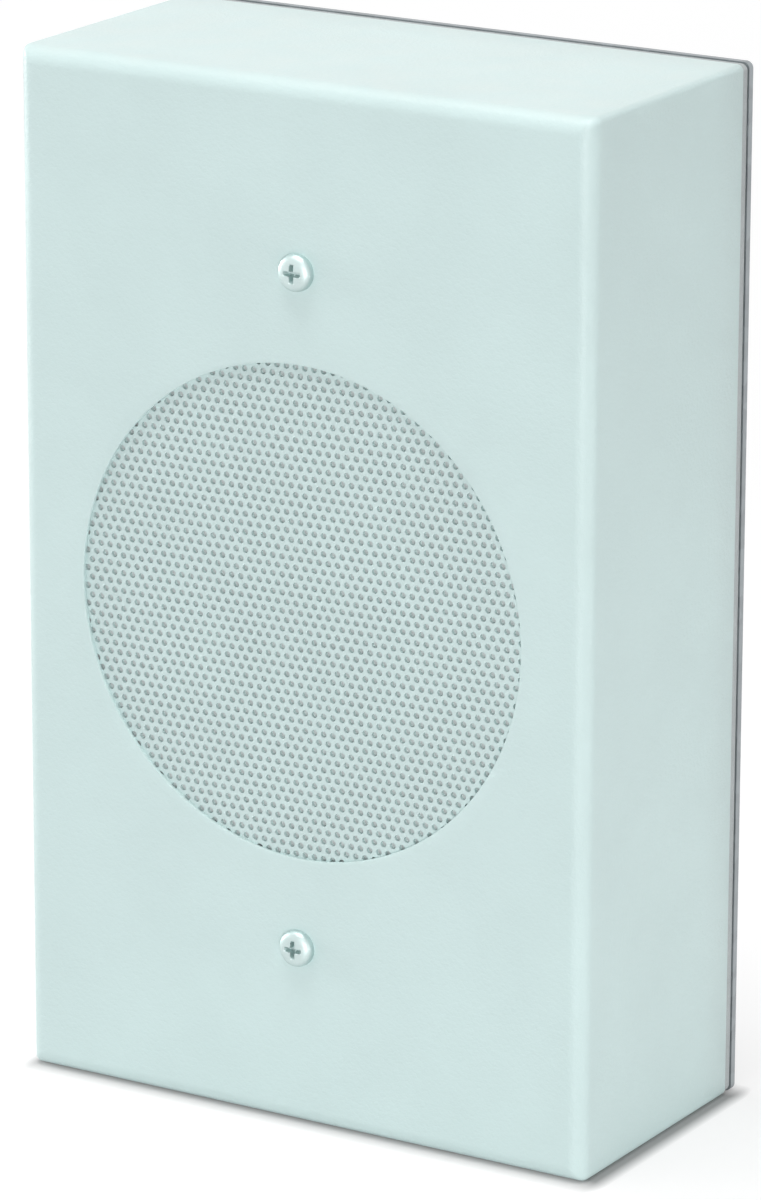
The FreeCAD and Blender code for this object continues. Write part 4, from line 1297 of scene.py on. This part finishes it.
@dataclass
class CoverScrew:
    """A screw with a crowned head, a tapered cross recess and a thread."""

    head: float = 4.75 * MM
    crown: float = 3.0 * MM
    rim: float = 0.9 * MM
    arm: float = 2.5 * MM
    arm_fade: float = 0.35
    slot_width: float = 1.3 * MM
    slot_fade: float = 0.25
    recess: float = 1.8 * MM
    shank: float = 2.5 * MM
    thread: float = 0.8 * MM
    thread_depth: float = 0.35 * MM
    sharp: float = 35.0
    steps_round: int = 120
    steps_head: int = 44
    steps_thread: int = 140

    def build(self, wardrobe: Wardrobe, node: str) -> None:
        """Make one screw.

        The head's height is the rim plus the rest of the crown times the root of one less the fourth
        power of the share of the radius. The recess takes away a depth that fades from the middle of each
        arm to its edge and end. The shank's radius falls and rises with a triangle wave along its helix.

        Args:
            wardrobe: Gives the finish.
            node: Node of the screw that it stands for.
        """
        low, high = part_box(node)
        middle = (low.z + high.z) / 2
        seat = low.y + self.crown
        turn = np.linspace(0.0, 2 * math.pi, self.steps_round, endpoint=False)
        share = np.sin(np.linspace(0.0, math.pi / 2, self.steps_head))[:, None]
        radius = share * self.head + 0 * turn
        x, z = radius * np.cos(turn), radius * np.sin(turn)
        near, far = np.minimum(np.abs(x), np.abs(z)), np.maximum(np.abs(x), np.abs(z))
        beside = np.clip((self.slot_width / 2 - near) / (self.slot_fade * self.slot_width), 0.0, 1.0)
        ahead = np.clip((self.arm - far) / (self.arm_fade * self.arm), 0.0, 1.0)
        dome = self.rim + (self.crown - self.rim) * np.sqrt(1 - share ** 4)
        top = seat - dome + self.recess * beside * ahead
        head = np.stack([x, top, z], axis=-1)

        along = np.linspace(seat, high.y, self.steps_thread)[:, None]
        helix = (along / self.thread + turn / (2 * math.pi)) % 1.0
        shank = self.shank - self.thread_depth * np.abs(2 * helix - 1)
        rod = np.stack([shank * np.cos(turn), along + 0 * turn, shank * np.sin(turn)], axis=-1)
        under = np.stack([head[-1, :, 0], np.full(len(turn), seat), head[-1, :, 2]], axis=-1)[None]
        tip = np.array([0.0, high.y, 0.0]) + 0 * under
        rows = np.concatenate([head, under, rod, tip]) + np.array([0.0, 0.0, middle])
        faces = grid_faces(len(rows), self.steps_round, round_columns=True)
        screw = new_piece(f"{node}_crowned", Surface(rows.reshape(-1, 3), [faces]))
        wardrobe.place(settle(screw, self.sharp), Slot.SCREW, Body.CABINET, node)


# Driver

@dataclass
class Suspension:
    """The cloth edge and the spider that let the cone travel. Depths count from the frame's front."""

    seat_rim: float = 57.7 * MM
    seat_inner: float = 53.0 * MM
    crest: float = 50.0 * MM
    cone_rim: float = 47.0 * MM
    cone_inner: float = 44.0 * MM
    seat_depth: float = 2.5 * MM
    crest_depth: float = 0.5 * MM
    rim_depth: float = 5.0 * MM
    collar: float = 13.3 * MM
    collar_end: float = 15.3 * MM
    collar_depth: float = 19.4 * MM
    spider_seat: float = 28.0 * MM
    spider_rim: float = 32.7 * MM
    spider_depth: float = 24.0 * MM
    pleat: float = 0.6 * MM
    pleats: float = 3.0
    thickness: float = 0.5 * MM
    steps_round: int = 180
    steps_edge: int = 15
    steps_spider: int = 49

    def sheet(self, name: str, radius: Array, depth: Array, front: float) -> bpy.types.Object:
        """A turned sheet: a line of radii and depths, and the same line one thickness behind.

        Args:
            name: Name of the piece.
            radius: Radii along the line.
            depth: Depths along the line.
            front: Depth of the frame's front.

        Returns:
            The finished object.
        """
        face = np.stack([radius, front + depth], axis=-1)
        back = face[::-1] + np.array([0.0, self.thickness])
        return settle(new_piece(name, lathe(np.concatenate([face, back]), self.steps_round)))

    def build(self, wardrobe: Wardrobe) -> None:
        """Make the edge in two rings that meet at its crest, and the spider.

        The edge falls from its crest to the seat and to the cone's rim by half a cosine wave. The spider
        falls straight from its seat to its collar, with a wave of whole pleats, a sine from one low point
        to another, that fades out at both ends.

        Args:
            wardrobe: Gives the finishes.
        """
        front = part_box("driver_basket")[0].y
        wave = np.linspace(0.0, 1.0, self.steps_edge)
        fall = (1 - np.cos(math.pi * wave)) / 2
        radius = np.append(self.crest + (self.seat_inner - self.crest) * wave, self.seat_rim)
        depth = np.append(self.crest_depth + (self.seat_depth - self.crest_depth) * fall, self.seat_depth)
        outer = self.sheet("cloth_edge_outer", radius, depth, front)
        wardrobe.place(outer, Slot.EDGE_CLOTH, Body.CABINET, "surround")

        radius = np.append(self.crest + (self.cone_rim - self.crest) * wave, self.cone_inner)
        depth = np.append(self.crest_depth + (self.rim_depth - self.crest_depth) * fall, self.rim_depth)
        inner = self.sheet("cloth_edge_inner", radius, depth, front)
        wardrobe.stretch(inner, Slot.EDGE_CLOTH, "surround")

        slope = np.linspace(0.0, 1.0, self.steps_spider)
        fade = np.minimum(1.0, 2 * self.pleats * np.minimum(slope, 1 - slope))
        ripple = self.pleat * fade * np.sin(2 * math.pi * (self.pleats * slope - 0.25))
        radius = self.collar_end + (self.spider_seat - self.collar_end) * slope
        depth = self.collar_depth + (self.spider_depth - self.collar_depth) * slope + ripple
        radius = np.concatenate([[self.collar], radius, [self.spider_rim]])
        depth = np.concatenate([[self.collar_depth], depth, [self.spider_depth]])
        spider = self.sheet("pleated_spider", radius, depth, front)
        wardrobe.stretch(spider, Slot.SPIDER, "spider")


# Leads

# Routes in millimetres; the tinsel's is mirrored for the other side
TINSEL_ROUTE = ((10.0, -46.8, -44.0), (14.0, -46.8, -44.0), (14.0, -56.8, -41.0), (10.0, -57.692, -29.0),
                (6.0, -58.192, -21.0))
SPEAKER_ROUTES = (
    ((-38.0, -22.0, -55.9), (-38.0, -22.0, -48.3), (-27.8, -42.0, -48.217), (-17.6, -47.0, -48.75),
     (-10.0, -47.0, -48.75)),
    ((-32.0, -22.0, -55.9), (-32.0, -22.0, -49.9), (-11.75, -40.4, -55.5), (8.5, -47.0, -58.1),
     (8.5, -47.0, -50.5)),
)
TAP_ROUTES = (
    ((-29.0, -22.0, -84.1), (-29.0, -22.0, -98.0), (-1.0, -14.75, -99.6), (27.0, -7.5, -98.0),
     (27.0, -7.5, -87.0)),
    ((-35.0, -22.0, -84.1), (-35.0, -22.0, -102.0), (3.5, -14.75, -103.6), (42.0, -7.5, -102.0),
     (42.0, -7.5, -87.0)),
    ((-41.0, -22.0, -84.1), (-41.0, -22.0, -106.0), (8.0, -14.75, -107.6), (57.0, -7.5, -106.0),
     (57.0, -7.5, -87.0)),
)


@dataclass
class Leads:
    """The limp leads inside: from the driver's lugs to its cone, and to and from the transformer."""

    lead: float = 1.6 * MM
    tinsel: float = 1.0 * MM
    tinsel_start: float = -41.0 * MM
    tinsel_end: float = -21.0 * MM
    steps_round: int = 4
    steps_along: int = 16

    def line(self, name: str, route: Array, radius: float) -> bpy.types.Object:
        """A smooth curve with the route's points as its control points.

        Args:
            name: Name of the curve.
            route: Rows of points.
            radius: Radius of the round tube about it, or zero for a bare line.

        Returns:
            The curve object.
        """
        curve = bpy.data.curves.new(name, "CURVE")
        curve.dimensions = "3D"
        curve.bevel_depth = radius
        curve.bevel_resolution = self.steps_round
        curve.use_fill_caps = True
        curve.resolution_u = self.steps_along
        spline = curve.splines.new("NURBS")
        spline.points.add(len(route) - 1)
        spline.points.foreach_set("co", np.append(route, np.ones((len(route), 1)), axis=1).ravel())
        spline.order_u = 3
        spline.use_endpoint_u = True
        piece = bpy.data.objects.new(name, curve)
        bpy.context.scene.collection.objects.link(piece)
        return piece

    def path(self, route: Array) -> Array:
        """Points along a route's smooth line.

        Args:
            route: Rows of points.

        Returns:
            Rows of points, close together.
        """
        bare = self.line("route", route, 0.0)
        mesh = bpy.data.meshes.new_from_object(bare)
        points = np.zeros(3 * len(mesh.vertices), dtype=np.float32)
        mesh.vertices.foreach_get("co", points)
        bpy.data.objects.remove(bare)
        bpy.data.meshes.remove(mesh)
        return points.reshape(-1, 3).astype(float)

    def tube(self, name: str, route: Array, diameter: float) -> tuple[bpy.types.Object, Array]:
        """A lead as a mesh tube along its smooth line.

        Args:
            name: Name of the lead.
            route: Rows of points.
            diameter: Diameter of the lead.

        Returns:
            The piece and the points that it follows.
        """
        curve = self.line(f"{name}_line", route, diameter / 2)
        piece = bpy.data.objects.new(name, bpy.data.meshes.new_from_object(curve))
        bpy.context.scene.collection.objects.link(piece)
        bpy.data.objects.remove(curve)
        return settle(piece), self.path(route)

    @staticmethod
    def declare(piece: bpy.types.Object, path: Array, diameter: float) -> None:
        """Take a lead and do nothing with it.

        Args:
            piece: The lead; not used.
            path: The points that it follows; not used.
            diameter: Its diameter; not used.
        """

    def build(self, wardrobe: Wardrobe) -> None:
        """Make all leads.

        Args:
            wardrobe: Gives the finishes.
        """
        for side, ending in ((-1, "left"), (1, "right")):
            route = np.array(TINSEL_ROUTE) * MM * np.array([side, 1, 1])
            piece, path = self.tube(f"tinsel_lead_{ending}", route, self.tinsel)
            wardrobe.stretch(piece, Slot.TINSEL, "tinsel_leads")
            self.declare(piece, path, self.tinsel)
        sets = ((SPEAKER_ROUTES, Slot.LEAD, "speaker_leads"), (TAP_ROUTES, Slot.TAP, "tap_leads"))
        for routes, slot, node in sets:
            for number, route in enumerate(routes, start=1):
                piece, path = self.tube(f"{node[:-1]}_{number}", np.array(route) * MM, self.lead)
                wardrobe.place(piece, slot, Body.CABINET, node)
                self.declare(piece, path, self.lead)


# Studio

@dataclass(frozen=True)
class Lamp:
    """A square soft lamp."""

    name: str
    place: tuple[float, float, float]
    aim: tuple[float, float, float]
    size: float
    power: float

    def build(self) -> None:
        """Hang the lamp and turn it to its aim."""
        light = bpy.data.lights.new(self.name, "AREA")
        light.energy = self.power
        light.size = self.size
        lamp = bpy.data.objects.new(self.name, light)
        lamp.location = self.place
        lamp.rotation_mode = "QUATERNION"
        lamp.rotation_quaternion = (Vector(self.aim) - lamp.location).to_track_quat("-Z", "Y")
        bpy.context.scene.collection.objects.link(lamp)


LAMPS = (
    Lamp("overhead_lamp", (-0.1, -0.31, 1.8), (0.0, 0.0, 0.0), 0.9, 20.5),
    Lamp("front_lamp", (1.36, -2.2, -0.02), (0.0, 0.0, -0.3), 0.8, 34.6),
    Lamp("low_lamp", (0.8, -0.1, -0.05), (0.3, 0.0, -2.0), 0.15, 2.5),
    Lamp("edge_lamp", (-1.2, -0.12, 0.2), (0.0, 0.0, 0.0), 0.5, 7.0),
)


@dataclass
class Studio:
    """Floor, light and camera."""

    azimuth: float = 31.33
    elevation: float = 16.53
    roll: float = 0.13
    distance: float = 1.674
    lens: float = 198.4
    fit_front: float = 38.5 * MM
    shift_right: float = 0.5 * MM
    shift_up: float = -5.6 * MM
    sky: float = 0.42
    floor_tone: float = 0.7
    floor_glow: float = 0.66
    far_glow: float = 0.2
    far_span: Span = (0.6, 2.2)
    floor_shade: float = 0.36
    floor_size: float = 12.0
    # Painted shadow at the foot: glow left there, how wide it fades, and how far it is moved
    painted_shadow_glow: float = 0.05
    painted_shadow_width: Span = (4.0 * MM, 9.0 * MM)
    painted_shadow_shift: float = 1.5 * MM
    painted_shadow_inset: float = 5.0 * MM
    clip: Span = (0.05, 100.0)

    @staticmethod
    def seen(canvas: Canvas) -> bpy.types.NodeSocket:
        """Whether a ray comes from the camera, a reflection or glass.

        Args:
            canvas: Where the nodes go.

        Returns:
            The socket, 1 for such a ray and 0 for others.
        """
        ray = canvas.add("LightPath").outputs
        mirrored = canvas.sum_of("MAXIMUM", ray["Is Glossy Ray"], ray["Is Transmission Ray"])
        return canvas.sum_of("MAXIMUM", ray["Is Camera Ray"], mirrored)

    def make_sky(self) -> None:
        """An even white sky, plain white where it is seen."""
        world = bpy.data.worlds.new("sky")
        world.use_nodes = True
        bpy.context.scene.world = world
        canvas = Canvas(world.node_tree)
        world.node_tree.nodes.clear()
        lit = canvas.add("Background", {"Color": grey(1.0), "Strength": self.sky})
        shown = canvas.add("Background", {"Color": grey(1.0), "Strength": 1.0})
        either = canvas.add("MixShader", {0: self.seen(canvas), 1: lit.outputs[0], 2: shown.outputs[0]})
        canvas.add("OutputWorld", {"Surface": either.outputs[0]})

    def glow_past_painted_shadow(self, canvas: Canvas) -> bpy.types.NodeSocket:
        """The share of the glow on the floor: low at the object's foot, whole further out, so that a shadow
        is painted along the foot.

        The way out is the length of what exceeds the foot's half width and half depth, each counted in
        widths of its shadow. The foot is taken a little to the right, away from the light, and inside the
        bend of the front.

        Args:
            canvas: Where the nodes go.

        Returns:
            The socket of the share.
        """
        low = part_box("front_cover")[0] + Vector((self.painted_shadow_shift, self.painted_shadow_inset, 0.0))
        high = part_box("back_plate")[1] + Vector((self.painted_shadow_shift, -self.painted_shadow_inset, 0.0))
        place = canvas.add("SeparateXYZ", {0: canvas.add("TexCoord").outputs["Object"]}).outputs
        squares = []
        for axis in range(2):
            middle, half = (low[axis] + high[axis]) / 2, (high[axis] - low[axis]) / 2
            away = canvas.sum_of("ABSOLUTE", canvas.sum_of("SUBTRACT", place[axis], middle))
            over = canvas.sum_of("MAXIMUM", canvas.sum_of("SUBTRACT", away, half), 0.0)
            share = canvas.sum_of("DIVIDE", over, self.painted_shadow_width[axis])
            squares.append(canvas.sum_of("MULTIPLY", share, share))
        gap = canvas.sum_of("SQRT", canvas.sum_of("ADD", *squares))
        return canvas.spread(gap, self.painted_shadow_glow, 1.0)

    def make_floor(self) -> None:
        """A plain pale floor that shows white, keeps some of the object's own shadow and has a painted
        shadow at its foot.
        """
        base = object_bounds()[0].z
        half = self.floor_size / 2
        corners = np.array([[-half, -half], [half, -half], [half, half], [-half, half]])
        points = np.column_stack([corners, np.full(4, base)])
        floor = new_piece("floor", Surface(points, [np.arange(4).reshape(1, 4)]), outward=False)
        paper = bpy.data.materials.new("pale_floor")
        paper.use_nodes = True
        canvas = Canvas(paper.node_tree)
        paper.node_tree.nodes.clear()
        lit = canvas.add("BsdfDiffuse", {"Color": grey(self.floor_tone)})
        shaded = canvas.add("BsdfDiffuse", {"Color": grey(self.floor_shade)})
        spot = canvas.add("TexCoord").outputs["Object"]
        away = canvas.add("VectorMath", {0: spot}, operation="LENGTH").outputs["Value"]
        far = canvas.spread(away, 0.0, self.far_glow, self.far_span)
        # The glow drops near the foot: a painted contact shadow
        strength = canvas.sum_of("MULTIPLY_ADD", self.glow_past_painted_shadow(canvas), self.floor_glow, far)
        glow = canvas.add("Emission", {"Color": grey(1.0), "Strength": strength})
        shown = canvas.add("AddShader", {0: shaded.outputs[0], 1: glow.outputs[0]})
        either = canvas.add("MixShader", {0: self.seen(canvas), 1: lit.outputs[0], 2: shown.outputs[0]})
        canvas.add("OutputMaterial", {"Surface": either.outputs[0]})
        floor.data.materials.append(paper)
        floor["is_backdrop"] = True

    def make_camera(self) -> None:
        """The camera at the photograph's viewing angle, its long side 36 mm."""
        turn, rise = math.radians(self.azimuth), math.radians(self.elevation)
        back = Vector((math.sin(turn) * math.cos(rise), -math.cos(turn) * math.cos(rise), math.sin(rise)))
        right = Vector((math.cos(turn), math.sin(turn), 0.0))
        above = back.cross(right)
        cover_low, cover_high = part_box("front_cover")
        centre = Vector((0.0, cover_low.y + self.fit_front, (cover_low.z + cover_high.z) / 2))
        lens = bpy.data.cameras.new("camera")
        lens.lens = self.lens
        lens.clip_start, lens.clip_end = self.clip
        camera = bpy.data.objects.new("camera", lens)
        axes = Matrix((right, above, back)).transposed() @ Matrix.Rotation(math.radians(self.roll), 3, "Z")
        camera.matrix_world = axes.to_4x4()
        camera.location = centre + back * self.distance + right * self.shift_right + above * self.shift_up
        bpy.context.scene.collection.objects.link(camera)
        bpy.context.scene.camera = camera

    def build(self) -> None:
        """Make the studio."""
        bpy.context.scene.view_settings.view_transform = "Standard"
        self.make_sky()
        self.make_floor()
        for lamp in LAMPS:
            lamp.build()
        self.make_camera()


def main() -> None:
    """Build the speaker's pieces, dress its solids and set up the studio."""
    logging.basicConfig(level=logging.INFO, format="%(message)s")
    wardrobe = Wardrobe()
    wardrobe.dress_solids()
    for assembly in (FrontCover(), Grille(), Seat(), RearSeal(), Grommet(), Suspension(), Leads()):
        assembly.build(wardrobe)
    for node in ("cover_screw_top", "cover_screw_bottom"):
        CoverScrew().build(wardrobe, node)
    Studio().build()


if __name__ == "__main__":
    main()
